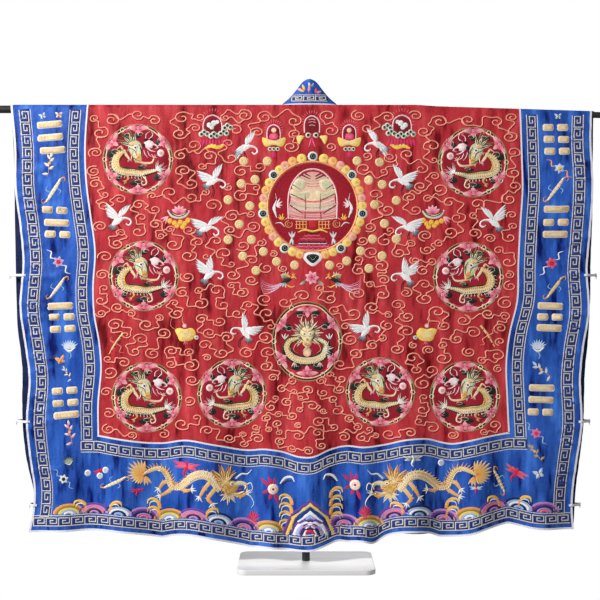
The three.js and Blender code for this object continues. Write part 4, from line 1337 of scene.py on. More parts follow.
def pavilion(sew):
    """Four roofs over one another inside an arch; each roof sags between its upturned ends."""
    arch = [(-75, -38), (-76, 20), (-68, 62), (-46, 96), (-18, 114), (18, 114), (46, 96), (68, 62),
            (76, 20), (75, -38)]
    sew.patch(arch, DUSTY, 1.2, 0.2, IVORY, rings=8, step=12)
    sew.line(arch, 7, BLUSH, 1.4, 1.0, step=9)
    for side in (-1, 1):
        sew.patch([(side * 20, 84), (side * 50, 88), (side * 66, 58), (side * 40, 46), (side * 22, 60)],
                  IVORY, 1, 1.1, SAGE, step=9)
        sew.patch([(side * 8, 50), (side * 40, 44), (side * 68, 56), (side * 70, 32), (side * 30, 22),
                   (side * 8, 28)], IVORY, 1, 1.2, SAGE, step=9)
        for low, high in (((8, 86), (34, 98)), ((8, 94), (24, 103)), ((40, 54), (62, 68)),
                          ((24, 19), (69, 40)), ((32, -21), (71, 4))):
            sew.line(np.array([low, high]) * (side, 1), [4, 7], MAROON, 0.9, 2.4)
        sew.line(np.array([(24, 40), (23, 12), (22, -10)]) * (side, 1), 3.0, MAROON, 0.9, 2.0)
        sew.line(np.array([(24, -16), (25, -38)]) * (side, 1), 3.0, MAROON, 0.9, 2.0)
    roofs = [
        (80, 46, 12, 6, SAGE), (70, 26, 5, 4, SALMON), (62, 22, 3, 4, SALMON), (14, 30, 1, 7, SALMON),
        (30, 68, 22, 5, IVORY), (16, 68, 22, 7, SALMON), (6, 68, 18, 8, BLUSH), (-3, 69, 16, 8, SAGE),
        (-12, 70, 14, 7, FOAM), (-20, 36, 1, 7, MAGENTA), (-17, 40, 4, 6, SALMON), (-27, 71, 14, 8, DUSTY),
        (-34, 71, 9, 7, SALMON), (-41, 72, 5, 6, BLUSH),
    ]
    for level, reach, lift_at_ends, width, color in roofs:
        bow = [(-reach, level + lift_at_ends), (-reach * 0.55, level + lift_at_ends * 0.28), (0, level),
               (reach * 0.55, level + lift_at_ends * 0.28), (reach, level + lift_at_ends)]
        sew.line(bow, width, color, 0.9, 1.4, step=10)


def terrace(sew):
    """The red door, gold fences and the clouds and waves below the pavilion."""
    sew.patch([(-13, -38), (13, -38), (12, -66), (-12, -66)], dye(196, 40, 44), 1.0, 0.4, step=9,
              smooth=False)
    for side in (-1, 1):
        for x in (20, 30, 40, 50):
            sew.line([(side * x, -44), (side * x, -68)], 4.4, OCHRE, 1, 0.5, smooth=False)
        for level in (-46, -56, -68):
            sew.line([(side * 18, level), (side * 54, level)], 3.6, STRAW, 1, 0.6, step=9)
        curl = arc(11, 90, 400, 9, side * 74, -54)
        sew.line(curl, 4, PEACH, 1, 0.5)
        sew.line(arc(5, 0, 300, 7, side * 74, -54), 3, OCHRE, 1, 0.5, step=3)
        sew.line([(side * 58, -40), (side * 74, -34), (side * 88, -42)], [3, 6, 3], PEACH, 1, 0.5)
        for k, angle in enumerate((100, 70, 40, 130)):
            petal(sew, side * 96, -42, angle if side > 0 else 180 - angle, 22 - 3 * k, 8, AMBER, YELLOW)
        sew.line([(side * 116, -52), (side * 100, -50), (side * 88, -62)], [2, 6, 3], WHITE, 1, 0.5)
        for k, angle in enumerate((60, 90, 120, 260, 290)):
            petal(sew, side * 64, -98, angle if side > 0 else 180 - angle, 22, 9, WHITE, GREY,
                  lift=0.4 + 0.05 * k)
        bird = [(side * 112, 20), (side * 120, -4), (side * 112, -34)]
        sew.line(bird, [3, 14, 4], WHITE, 1.4, 0.4)
        for k, angle in enumerate((120, 150, 180, 210)):
            petal(sew, side * 114, 4, 180 - angle if side < 0 else angle, 26 - 3 * k, 9, WHITE, BLUSH,
                  lift=0.5 + 0.05 * k)
        sew.line([(side * 112, 22), (side * 116, 42)], [5, 1.5], BLUSH, 1, 0.5)
    sew.line([(-46, -80), (-24, -72), (0, -77), (24, -72), (46, -80)], [5, 9, 8, 9, 5], YELLOW, 1.2, 0.6)
    sew.line([(-22, -80), (0, -84), (22, -80)], [3, 7, 3], PINE, 1, 1.1)
    for level, reach, color in (
            (-90, 26, SALMON), (-95, 33, MAGENTA), (-100, 40, SALMON), (-105, 46, MAGENTA),
            (-119, 60, MAGENTA), (-124, 54, ROSE), (-129, 46, MAGENTA), (-134, 34, SALMON)):
        points = [(x, level + 2.0 * math.cos(x * 0.5)) for x in range(-reach, reach + 1, 7)]
        sew.line(points, 5, color, 1.0, 0.4)
    for level, reach, width, color in ((-115, 44, 4, WHITE), (-111, 40, 6, DARK)):
        points = [(x, level + 1.5 * math.cos(x * 0.4)) for x in range(-reach, reach + 1, 8)]
        sew.line(points, width, color, 1.1, 0.6)


roundel = Stitching()
roundel.move_to(0.021, 1.118)
for angle, color in WREATH:
    right, y = turned([(153, 0)], angle)[0]
    for x in (right, -right):
        roundel.disc(x, y, 15.5, color, 1.4, 0.1, LEMON, sides=14)
        roundel.bead(x * 1.015, y * 1.015, 6.5, color, 1.0, 1.1, AMBER)
for angle in WREATH_CLOUDS:
    wreath_cloud(roundel, angle)
    if angle != 90:
        wreath_cloud(roundel, 180 - angle)
roundel.disc(0, 0, 140, dye(150, 14, 34), 0.6, 0.1, dye(170, 20, 40), sides=64, rings=14)
speck_rng = random.Random(3)
for k in range(64):
    if 235 < k * 360 / 64 < 305:
        continue
    for radius in (118, 128):
        speck = turned([(-4, 0), (4, 0)], k * 360 / 64 + 90 + speck_rng.uniform(-30, 30),
                       *turned([(radius + speck_rng.uniform(-4, 4), 0)], k * 360 / 64)[0])
        color = DARK if 20 < k * 360 / 64 < 160 else SHADE_RED
        roundel.line(speck, [1.5, 4.5, 1.5], color, 0.6, 0.5, smooth=False)
roundel.line(arc(140, 0, 355, 60), 7, RING_GOLD, 1.6, 0.6, step=9, closed=True)
pavilion(roundel)
terrace(roundel)
roundel.patch([(0, -186), (-28, -164), (-26, -146), (0, -140), (26, -146), (28, -164)], WHITE, 1.3, 0.3,
              FOAM)
roundel.patch([(0, -178), (-21, -161), (-18, -150), (0, -146), (18, -150), (21, -161)], PINE, 1, 1.2, DARK)
roundel.line([(-12, -152), (0, -166), (12, -152)], [2, 5, 2], MINT, 1, 1.8)
roundel = roundel.sewn("roundel", "red_satin")


# Shrines, lotus flowers, phoenixes and lucky emblems scattered over the red ground.
SHRINES = [
    # x, height, width and height of the arch, whether it stands on clouds or on a yellow cloth
    (-290, 1373, 28, 58, "clouds"), (-100, 1349, 20, 46, "cloth"),
    (19, 1373, 23, 54, "wings"), (135, 1349, 20, 46, "cloth"),
    (299, 1373, 28, 58, "clouds"),
]
PLUM = dye(190, 128, 178)
CORAL = dye(240, 142, 122, 0.1)
PINK = dye(226, 44, 110)


def cloud_knot(sew, x, y, size=1.0):
    for offset_x, offset_y, start in ((-9, 0, 30), (9, 1, 150), (0, 7, 270)):
        middle = (x + offset_x * size, y + offset_y * size)
        sew.disc(*middle, 9 * size, MINT, 1.2, 0.3, FOAM, sides=10)
        sew.bead(*middle, 5.5 * size, DARK, 0.9, 0.9, PINE)
        sew.line(arc(3.2 * size, start, start + 240, 6, *middle), 1.8, FOAM, 0.9, 1.4, step=3)


def shrine(sew, width, height, stand):
    for k in range(15):
        angle = -15 + k * 15
        x, y = turned([(width * 0.98, 0)], angle)[0]
        petal(sew, x, y * 1.1 + height * 0.16, angle, 13, 3, PINK, CORAL, 0.8)
    arch = [(-width, -height * 0.46), (-width * 1.02, 0), (-width * 0.78, height * 0.32), (0, height * 0.5),
            (width * 0.78, height * 0.32), (width * 1.02, 0), (width, -height * 0.46)]
    sew.patch(arch, WINE, 0.7, 0.1, SHADE_RED, step=10)
    sew.line(arch, 5, BLUSH, 1.3, 0.4)
    if stand == "clouds":
        for x, y, size in ((-10, -2, 9), (4, 4, 10), (14, 8, 7), (-2, -9, 8)):
            sew.disc(x, y, size, WHITE, 1.3, 0.6, FOAM, sides=10)
        for x, y in ((-26, -30), (4, -36), (34, -28), (46, -10)):
            cloud_knot(sew, x, y)
        for k in range(9):
            petal(sew, -34 + 9 * k, -46, 250 + 5 * k, 24, 8, PINK, MAGENTA, 0.9)
        sew.line([(-24, -74), (-4, -66), (18, -70), (36, -62)], [6, 14, 15, 8], YELLOW, 1.2, 0.3)
        sew.line([(4, -82), (0, -96), (-6, -104)], [4, 3, 1], PINK, 0.9, 0.3)
    elif stand == "cloth":
        sew.disc(0, 6, 9, PEACH, 1.2, 0.6, IVORY, sides=10)
        sew.patch([(-12, -4), (12, -4), (14, -22), (-14, -22)], PINK, 0.9, 0.5, ROSE, step=8)
        sew.patch([(-36, -16), (0, -26), (36, -16), (28, -44), (0, -40), (-28, -44)], YELLOW, 1.3, 0.6,
                  LEMON, step=8)
        for x in (-12, 0, 12):
            sew.bead(x, -52, 7, MINT, 1.1, 0.4)
            sew.bead(x, -52, 4, DARK, 0.9, 1.0)
        petal(sew, 0, -60, 270, 22, 16, PINK, MAGENTA)
    else:
        for level, reach in ((14, 10), (6, 11), (-4, 9)):
            sew.line([(-reach, level), (0, level + 3), (reach, level)], 4, BLUSH, 1, 0.7)
        sew.line([(0, 10), (0, -20)], 9, MAROON, 0.9, 0.5, smooth=False)
        for side in (-1, 1):
            sew.disc(side * 12, -33, 9, MINT, 1.1, 0.4, sides=10)
            sew.bead(side * 12, -33, 5.5, DARK, 0.9, 1.0)
            sew.patch([(side * 24, -36), (side * 46, -34), (side * 48, -46), (side * 40, -62),
                       (side * 32, -50)], YELLOW, 1.3, 0.3, LEMON)
            petal(sew, 0, -40, 270 + side * 18, 34, 7, PINK, ROSE)


def lotus(sew):
    """A lotus on a crescent leaf, with a cluster of yellow water buds below."""
    for k, angle in enumerate((30, 60, 90, 120, 150)):
        petal(sew, 2, 2, angle, 26, 14, PINK, BLUSH, lift=0.3 + 0.05 * (k % 2))
    sew.line([(-34, 12), (-20, -4), (0, -9), (20, -4), (34, 10)], [5, 13, 13, 13, 5], MINT, 1.2, 0.3)
    sew.line([(-30, 10), (-18, -3), (0, -8), (18, -3), (30, 9)], [2, 7, 6, 7, 2], PINE, 1.2, 0.8, DARK)
    for x, y in ((-26, -22), (-12, -28), (6, -26), (20, -30), (30, -20), (-4, -36), (14, -40)):
        sew.disc(x, y, 9, AMBER, 1.1, 0.3, YELLOW, sides=10)
        sew.line(arc(5, 20, 300, 6, x, y), 2.2, YELLOW, 1, 0.9, step=4)
    for angle in (200, 225, 250):
        petal(sew, -32, -8, angle, 28, 7, BLUSH, ROSE)


def phoenix(sew):
    """A phoenix flying right, with long violet tail feathers and an amber crest."""
    for k in range(6):
        drop = 7 * k
        sew.line([(-2, -8 - k), (-30, -16 - drop * 0.5), (-58, -6 - drop), (-70, 8 - drop * 0.6)],
                 [4, 4, 3, 1], WHITE if k % 2 else PLUM, 0.9, 0.3 + 0.05 * k, ROSE)
    for k, angle in enumerate((60, 80, 100, 120)):
        petal(sew, 4, 2, angle, 28 - 3 * k, 9, PINE, MINT)
    for angle in (210, 240, 270):
        petal(sew, 8, -4, angle, 20, 8, DARK, WHITE)
    sew.line([(-6, -8), (10, -2), (26, 6)], [8, 15, 9], PINE, 1.5, 0.5, DARK)
    sew.line([(-8, 16), (10, 16), (22, 10)], [4, 9, 5], AMBER, 1.2, 0.6, YELLOW)
    sew.line([(22, 4), (34, 10), (42, 4)], [7, 8, 3], AMBER, 1.4, 0.6, PEACH)
    sew.line([(10, -14), (26, -22), (36, -18)], [3, 5, 2], YELLOW, 1, 0.5)
    spikes(sew, 32, 12, (60, 90, 120), 13, 3.5, AMBER, YELLOW)


def rose(sew):
    for k in range(7):
        petal(sew, 0, 0, k * 360 / 7, 22, 16, PINK, BLUSH)
    for k in range(5):
        petal(sew, 0, 0, k * 72 + 30, 12, 9, MAGENTA, ROSE, lift=0.9)
    for angle in (-30, 210):
        petal(sew, *turned([(18, 0)], angle)[0], angle, 26, 10, PINE, MINT)


def gourd(sew):
    """A yellow gourd cloth with a white bud and a trailing stem."""
    sew.patch([(-32, 8), (-16, 14), (0, 10), (22, 14), (34, -2), (24, -22), (4, -28), (-16, -26),
               (-24, -10)], YELLOW, 1.6, 0.3, LEMON, step=8)
    for x, y in ((-12, 0), (4, -8), (14, 4), (-4, -18), (20, -14)):
        sew.line(arc(4, 0, 250, 6, x, y), 2.0, AMBER, 1, 1.4, step=3)
    sew.disc(0, 20, 8, ROSE, 1.2, 0.5, WHITE, sides=9)
    sew.disc(36, -16, 7, WHITE, 1.2, 0.5, PINE, sides=9)
    sew.line([(-2, 24), (-8, 38), (-6, 50)], [4, 3, 1.5], PEACH, 1, 0.3)
    sew.line([(-28, 8), (-44, 20), (-42, 40), (-32, 50)], [2.4, 2.4, 2, 1], CORAL, 0.9, 0.2)
    for angle in (250, 275, 300):
        petal(sew, 2, -24, angle, 16, 5, PINK, ROSE)


def flute(sew):
    """A flute tied with a ribbon."""
    sew.line([(-22, -32), (0, 4), (22, 34)], [5, 8, 8], PEACH, 1.5, 0.3, STRAW)
    for share in (-0.6, -0.2, 0.2, 0.6):
        sew.bead(share * 24, share * 36, 2.2, MAROON, 0.9, 1.5, sides=7)
    sew.line([(0, 2), (16, -10), (10, -24), (24, -28)], [3, 4, 3, 1.5], CORAL, 1, 0.4)
    sew.line([(0, 2), (-16, 10), (-14, 22)], [3, 4, 1.5], CORAL, 1, 0.4)


scattered = Stitching()
for x, height, half_width, arch_height, stand in SHRINES:
    scattered.move_to(x / 1000, height / 1000, mirror=x > 200)
    shrine(scattered, half_width, arch_height, stand)
for side in (-1, 1):
    scattered.move_to(side * 0.396, 1.095, mirror=side > 0)
    lotus(scattered)
    scattered.move_to(0.016 + side * 0.087, 0.889, mirror=side > 0)
    phoenix(scattered)
    scattered.move_to(side * 0.376, 0.727, mirror=side > 0)
    gourd(scattered)
scattered.move_to(-0.590, 0.691)
flute(scattered)
scattered.move_to(0.565, 0.715, mirror=True)
flute(scattered)
scattered.move_to(0.018, 0.897)
rose(scattered)
scattered = scattered.sewn("scattered_motifs", "red_satin")


# Cloud scrolls: peach cord couched in wide curls that wander into one another, with a wider dark-red
# ribbon shifted down and right beside it as its painted shadow, filling the whole of the red ground between
# the motifs.
SCROLL_LIGHT = dye(248, 170, 142, 0.1)
SCROLL_PAINTED_SHADOW = dye(112, 12, 20)
SCROLL_WIDTH = 0.0046
SCROLL_PAINTED_SHADOW_WIDTH = 0.0080
SPOT_GRID = 0.009
CURL_STRETCH = np.array([1.26, 0.90])
CURL_NARROWS = 0.80
LINK_REACH = 0.085
# What the scrolls leave free: x, height, half width, half height
KEPT_CLEAR = [(x, height, 110, 110) for x, height, _, _ in MEDALLIONS]
KEPT_CLEAR += [(x, height, 12, 12) for x, height in COINS]
KEPT_CLEAR += [(row[0], row[1], 40, 34) for row in CRANES]
KEPT_CLEAR += [(row[0], row[1] - 20, 36, 50) for row in SHRINES]
KEPT_CLEAR += [(4, 699, 100, 118), (21, 1118, 172, 172), (-396, 1090, 40, 36), (396, 1090, 40, 36),
               (-80, 885, 58, 24), (112, 885, 58, 24), (18, 897, 28, 28), (-376, 722, 38, 34),
               (376, 722, 38, 34), (-590, 691, 24, 34), (565, 715, 24, 34)]
KEPT_CLEAR = (np.array(KEPT_CLEAR) / 1000).tolist()


def is_free(x, height, room):
    """Whether a curl of that radius has room between the motifs and the seams."""
    seam_level = max(height, 0.415)
    if not left_seam(seam_level) + room + 0.006 < x < right_seam(seam_level) - room - 0.006:
        return False
    if not back_hem_seam(x) + room + 0.004 < height < bar_height(x) - room:
        return False
    return all(((x - cx) / (half_x + room)) ** 2 + ((height - ch) / (half_h + room)) ** 2 > 1
               for cx, ch, half_x, half_h in KEPT_CLEAR)


def scroll_curls(rng):
    """Curls of uneven size over the free ground, smaller and closer at the lower middle. They
    are laid out as circles x, height and radius, and stretched when sewn."""
    spots = [(column, level) for level in np.arange(0.27, 1.42, SPOT_GRID)
             for column in np.arange(-0.72, 0.73, SPOT_GRID)]
    rng.shuffle(spots)
    curls = []
    for least in (1.0, 0.7):
        for column, level in spots:
            x = column + rng.uniform(-0.004, 0.004)
            height = level + rng.uniform(-0.004, 0.004)
            radius = rng.uniform(0.0165, 0.0230) * least
            if abs(x) < 0.24 and height < 0.60:
                radius *= 0.78
            spot = (x / CURL_STRETCH[0], height / CURL_STRETCH[1])
            apart = all(math.dist(spot, other[:2]) > 1.20 * (radius + other[2]) for other in curls)
            if apart and is_free(x, height, radius):
                curls.append((*spot, radius))
    return curls


def around(curl, angle):
    """The point of a curl's rim at an angle."""
    return np.array(curl[:2]) + curl[2] * np.array([math.cos(angle), math.sin(angle)])


def coiled(curl, start, way, turns):
    """Points of a curl from its rim inwards."""
    angles = start + way * np.linspace(0, turns * 2 * math.pi, round(turns * 11))
    radii = curl[2] * np.linspace(1, 1 - CURL_NARROWS, len(angles))[:, None]
    return curl[:2] + np.column_stack([np.cos(angles), np.sin(angles)]) * radii


def tangent(first, first_way, second, second_way):
    """The straight way from the rim of one curl to that of another: its angle and length, and
    the angles where it leaves the one and meets the other."""
    shift = second_way * second[2] - first_way * first[2]
    apart = np.subtract(second[:2], first[:2])
    length = math.sqrt(apart @ apart - shift * shift)
    angle = math.atan2(apart[1], apart[0]) - math.atan2(shift, length)
    return angle, length, angle - first_way * math.pi / 2, angle - second_way * math.pi / 2


def swung(start, angle, length, swing):
    """Points along a straight way, swung to one side and then to the other."""
    share = np.linspace(0, 1, 9)[1:-1, None]
    sway = swing * np.sin(2 * math.pi * share) * np.sin(math.pi * share)
    ahead = np.array([math.cos(angle), math.sin(angle)])
    return start + length * (share * ahead + sway * (-ahead[1], ahead[0]))


def is_clear(points, curls, ends):
    """Whether a cord runs clear of the motifs and of all curls but the two at its ends."""
    rims = np.array(curls)
    room = np.linalg.norm(points[:, None] - rims[:, :2], axis=2) - rims[:, 2]
    room[:, ends] = 1
    return room.min() > 0.0015 and all(is_free(*(point * CURL_STRETCH), 0.002) for point in points)


def scroll_paths(rng):
    """Pairs of curls on one cord, and cords that run on from the rim of one curl to another."""
    curls = scroll_curls(rng)
    near = [sorted(range(len(curls)), key=lambda k: math.dist(curls[k][:2], curl[:2]))[1:9]
            for curl in curls]
    paths = []
    # How the cord leaves each curl: way round, angle, turns
    leaving = {}
    for i, curl in enumerate(curls):
        if i in leaving:
            continue
        way = rng.choice((-1, 1))
        turns = rng.uniform(1.1, 1.5)
        for j in near[i]:
            next_way = rng.choice((-1, 1))
            angle, length, leaves, meets = tangent(curl, way, curls[j], next_way)
            link = swung(around(curl, leaves), angle, length, rng.choice((-0.30, 0.30)))
            if j not in leaving and length < LINK_REACH and is_clear(link, curls, [i, j]):
                paths.append(np.vstack([coiled(curl, leaves, -way, turns)[::-1], link,
                                        coiled(curls[j], meets, next_way, turns)]))
                leaving[i] = way, leaves, turns
                leaving[j] = -next_way, meets, turns
                break
        else:
            start = rng.uniform(0, 2 * math.pi)
            paths.append(coiled(curl, start, -way, turns + 0.2))
            leaving[i] = way, start, turns + 0.2
    joined = set()
    for i, curl in enumerate(curls):
        way, leaves, turns = leaving[i]
        for j in near[i]:
            next_way, meets, next_turns = leaving[j]
            first, second = curl, curls[j]
            for _ in range(3):
                angle, length, start, end = tangent(first, -way, second, next_way)
                back = (leaves - start) * way % (2 * math.pi)
                next_back = (meets - end) * next_way % (2 * math.pi)
                first = (*curl[:2], curl[2] * (1 - CURL_NARROWS * back / (2 * math.pi * turns)))
                second = (*curls[j][:2],
                          curls[j][2] * (1 - CURL_NARROWS * next_back / (2 * math.pi * next_turns)))
            link = swung(around(first, start), angle, length, rng.choice((-0.30, 0.30)))
            if (max(back, next_back) < 1.1 * math.pi and length < LINK_REACH and i not in joined
                and j not in joined and is_clear(link, curls, [i, j])):
                paths.append(np.vstack([around(first, start), link, around(second, end)]))
                joined |= {i, j}
    return [path * CURL_STRETCH for path in paths]


def fits_front(path):
    """Whether a cord lies on the red of a front panel."""
    x, height = path.T
    seam_level = np.maximum(height, max(LEFT_CORNER_HEIGHT, RIGHT_CORNER_HEIGHT))
    return (abs(x - NECK_X).min() > band_edge + 0.008
            and (height - front_hem_seam(np.clip(x, -0.645, 0.631))).min() > 0.012
            and (x - left_seam(seam_level)).min() > 0.006 and (right_seam(seam_level) - x).min() > 0.006)


cords = scroll_paths(random.Random(7))
cloud_scrolls, front_scrolls = Stitching(), Stitching(FRONT)
for sew, paths in ((cloud_scrolls, cords), (front_scrolls, filter(fits_front, cords))):
    for path in paths:
        # The dark-red ribbon under each cord, shifted down and to the right, is painted shadow.
        shade = flowing(path + (0.0013, -0.0017), 0.0062)
        sew.ribbon(shade, SCROLL_PAINTED_SHADOW_WIDTH / 2, SCROLL_PAINTED_SHADOW, 0.3)
        sew.ribbon(flowing(path, 0.0044), SCROLL_WIDTH / 2, SCROLL_LIGHT, 1.3, 0.1, CORAL)
cloud_scrolls = cloud_scrolls.sewn("cloud_scrolls", "red_satin")
front_scrolls = front_scrolls.sewn("front_scrolls", "red_satin")


# The ninth medallion, low on the middle of the back: an oval with a dragon that faces the viewer.
def oval_dragon(sew):
    sew.patch(arc(1, 0, 345, 24) * (92, 108), WINE, 0.5, 0, dye(168, 22, 48), rings=8, step=30)
    for x, y, width, height in ((-62, 44, 17, 12), (60, 50, 16, 12), (-66, -30, 14, 16), (66, -34, 14, 16),
                                (-22, 88, 18, 8), (26, 88, 16, 8), (-34, -80, 18, 10), (34, -80, 18, 10)):
        sew.patch(arc(1, 0, 300, 7) * (width, height) + (x, y), PINE, 0.8, 0.3, DARK, rings=1, step=8)
        sew.line(arc(0.62, 0, 300, 7) * (width, height) + (x * 0.9, y * 0.9), 2.6, MINT, 1, 0.5, step=7)
    medallion_ring(sew, 1.14)
    coil = [(-26, 10), (-54, 2), (-64, -24), (-44, -50), (-10, -60), (28, -56), (54, -38), (58, -8),
            (34, 8)]
    sew.line(coil, [17, 25, 30, 31, 32, 31, 29, 25, 17], PINE, 0.8, step=7, profile=TAPE_PROFILE)
    sew.line(coil, [18, 28, 33, 36, 37, 36, 33, 28, 18], HONEY, 2.0, 0.0, CREAM, step=7)
    scales(sew, coil, 8.5, BRONZE, lift=2.0)
    for k in range(26):
        angle = -50 + k * 280 / 25
        petal(sew, *turned([(18, 0)], angle, 0, 22)[0], angle, 34 if k % 2 else 24, 7,
              (PINE, CREAM, OLIVE, DARK)[k % 4], MINT if k % 2 else CREAM, 1.2, 1.0)
    sew.patch([(-18, 42), (0, 50), (18, 42), (24, 24), (17, 4), (13, -12), (0, -20), (-13, -12), (-17, 4),
               (-24, 24)], HONEY, 2.0, 1.2, CREAM, step=8)
    for side in (-1, 1):
        sew.disc(side * 10, 24, 4.6, WHITE, 1, 3.0, sides=10)
        sew.bead(side * 9.5, 23.5, 2.6, DARK, 0.9, 3.8)
        for brow in ([(2, 30), (12, 34), (26, 44)], [(4, 16), (14, 17), (24, 26)],
                     [(3, 40), (8, 46), (10, 60)], [(6, -2), (14, 4), (20, 14)]):
            sew.line(np.array(brow) * (side, 1), [3, 6, 2], PINE, 1, 2.9)
        sew.bead(side * 7, -6, 5, PEACH, 1.2, 3.0)
        sew.line(np.array([(8, 46), (18, 62), (14, 80)]) * (side, 1), [7, 6, 2], CREAM, 1.4, 1.4, PEACH)
        sew.line(np.array([(14, -2), (34, -8), (42, -26), (30, -36)]) * (side, 1), [4, 4, 3, 1], PEACH, 1.1,
                 2.2)
        for angle in (60, 95, 130):
            petal(sew, side * 70, 6, angle if side > 0 else 180 - angle, 20, 6, MINT, WHITE)
        for angle in (240, 270, 300):
            petal(sew, side * 40, -64, angle, 18, 6, PEACH, WHITE, lift=1.0)
    sew.line([(-11, -8), (0, -13), (11, -8)], [2, 7, 2], MAGENTA, 1, 3.0)
    sew.line([(-14, -3), (0, -8), (14, -3)], [1.5, 3, 1.5], DARK, 0.8, 3.4)
    for angle in (228, 249, 291, 312):
        petal(sew, 0, -16, angle, 22, 6, SAGE, MINT, 1.1, 1.6)
    sew.bead(0, 6, 5, OCHRE, 1.2, 3.2)
    sew.disc(0, -36, 13, PEACH, 1.6, 1.4, CREAM, sides=16)
    spikes(sew, 52, -26, (-70, -44, -18, 6, 30, 54), 30, 8, WHITE, MINT, 1.4)


oval = Stitching()
oval.move_to(0.004, 0.699)
oval_dragon(oval)
oval = oval.sewn("oval_medallion", "red_satin")


# Trigrams and lucky things down the side borders: bars of couched gold thread in a white cord,
# three to a sign, and between them flowers, scroll cases, shells and butterflies.
# Each bar: x, height, turn, broken in the middle
TRIGRAM_BARS = [
    (-797, 1373, 5, False), (-794, 1333, 5, False), (-787, 1293, 4, False), (-781, 1107, -3, True),
    (-775, 1068, -2, False), (-772, 1032, -2, True), (-763, 809, 2, False), (-759, 775, 2, True),
    (-756, 738, 3, True), (-750, 546, 4, True), (-747, 508, 4, True), (-744, 471, 5, False),
    (775, 1364, 0, True), (778, 1327, -1, True), (780, 1290, 0, True), (778, 1110, 0, False),
    (777, 1069, 1, True), (775, 1032, 0, False), (759, 809, -2, False), (758, 775, -1, True),
    (756, 741, -2, False), (732, 555, -1, False), (730, 518, -2, False), (728, 480, -1, True),
]
BAR_GOLD = dye(228, 198, 146, 0.15)
BAR_LIGHT = dye(246, 224, 184, 0.1)
BAR_EDGE = dye(222, 214, 206)
SKY = dye(150, 182, 222)
FLAME = dye(214, 30, 66)


def trigram_bar(sew, broken):
    for start, end in ((-40, -5), (5, 40)) if broken else ((-40, 40),):
        for half, color, heart, lift in ((11, BAR_EDGE, BAR_EDGE, 0.2), (9.6, BAR_GOLD, BAR_LIGHT, 1.1)):
            left, right = start + 11 - half, end - 11 + half
            outline = [(left, 4 - half), (left, half - 4), (left + 4, half), (right - 4, half),
                       (right, half - 4), (right, 4 - half), (right - 4, -half), (left + 4, -half)]
            sew.patch(outline, color, 1.3, lift, heart, smooth=False)
        for x in np.arange(start + 7, end - 4, 4.5):
            sew.line([(x, -6.5), (x + 1.5, 6.5)], [0.6, 1.1, 0.6], BRONZE, 0.5, 2.1, smooth=False)


def ribbon_flower(sew, heart, petals, tip, ribbon):
    for k in range(6):
        petal(sew, 0, 0, k * 60 + 15, 17, 12, petals, tip)
    sew.bead(0, 0, 7, heart, 1.3, 0.8, sides=10)
    for way in (-1, 1):
        sew.line(np.array([(10, -10), (22, -12), (20, -28), (34, -34)]) * way, [2, 5, 4, 1.5], ribbon, 1.0,
                 0.3)


def scroll_case(sew, color, shade):
    sew.line([(-24, -34), (-6, -8), (8, 10), (24, 34)], [7, 12, 12, 7], color, 1.6, 0.3)
    for share in (-0.8, -0.45, -0.1, 0.25, 0.6, 0.9):
        x, y = share * 20, share * 29
        sew.line([(x - 7, y + 4), (x + 7, y - 4)], [1, 2.6, 1], shade, 0.8, 1.7, smooth=False)
    for way in (-1, 1):
        sew.line(np.array([(24, 34), (36, 38), (38, 28), (32, 24)]) * way, [6, 5, 3, 1.5], AMBER, 1.1, 0.4)
        sew.line(np.array([(4, 8), (22, -2), (16, -14)]) * way, [2, 4, 1.5], SKY, 1, 0.3)


def shell(sew, color, tip):
    for angle in range(34, 152, 16):
        petal(sew, 0, -14, angle, 32, 8, color, tip)
    sew.line([(-18, -8), (0, -20), (18, -8)], [3, 8, 3], color, 1.2, 0.7)
    sew.line([(0, -20), (6, -34), (0, -44)], [4, 4, 1.5], tip, 1.0, 0.3)


def butterfly(sew, color, tip):
    for angle, length in ((42, 25), (138, 25), (-38, 18), (218, 18)):
        petal(sew, 0, 0, angle, length, 14, color, tip)
        petal(sew, 0, 0, angle, length * 0.6, 6, tip, color, 0.9, 1.2)
    sew.line([(0, -14), (0, 12)], [2, 5, 3], DARK, 1.2, 0.8, smooth=False)


def sprig(sew, color, tip):
    sew.line([(-16, -30), (-4, -10), (2, 6), (14, 24)], [1.5, 3, 3, 2], OCHRE, 0.9, 0.3)
    for x, y, angle in ((-12, -22, 160), (-4, -10, 10), (0, 0, 130), (6, 12, 20), (10, 18, 100),
                        (14, 24, 55)):
        petal(sew, x, y, angle, 19, 9, color, tip)
    sew.bead(4, 8, 5, AMBER, 1.2, 0.9, YELLOW)


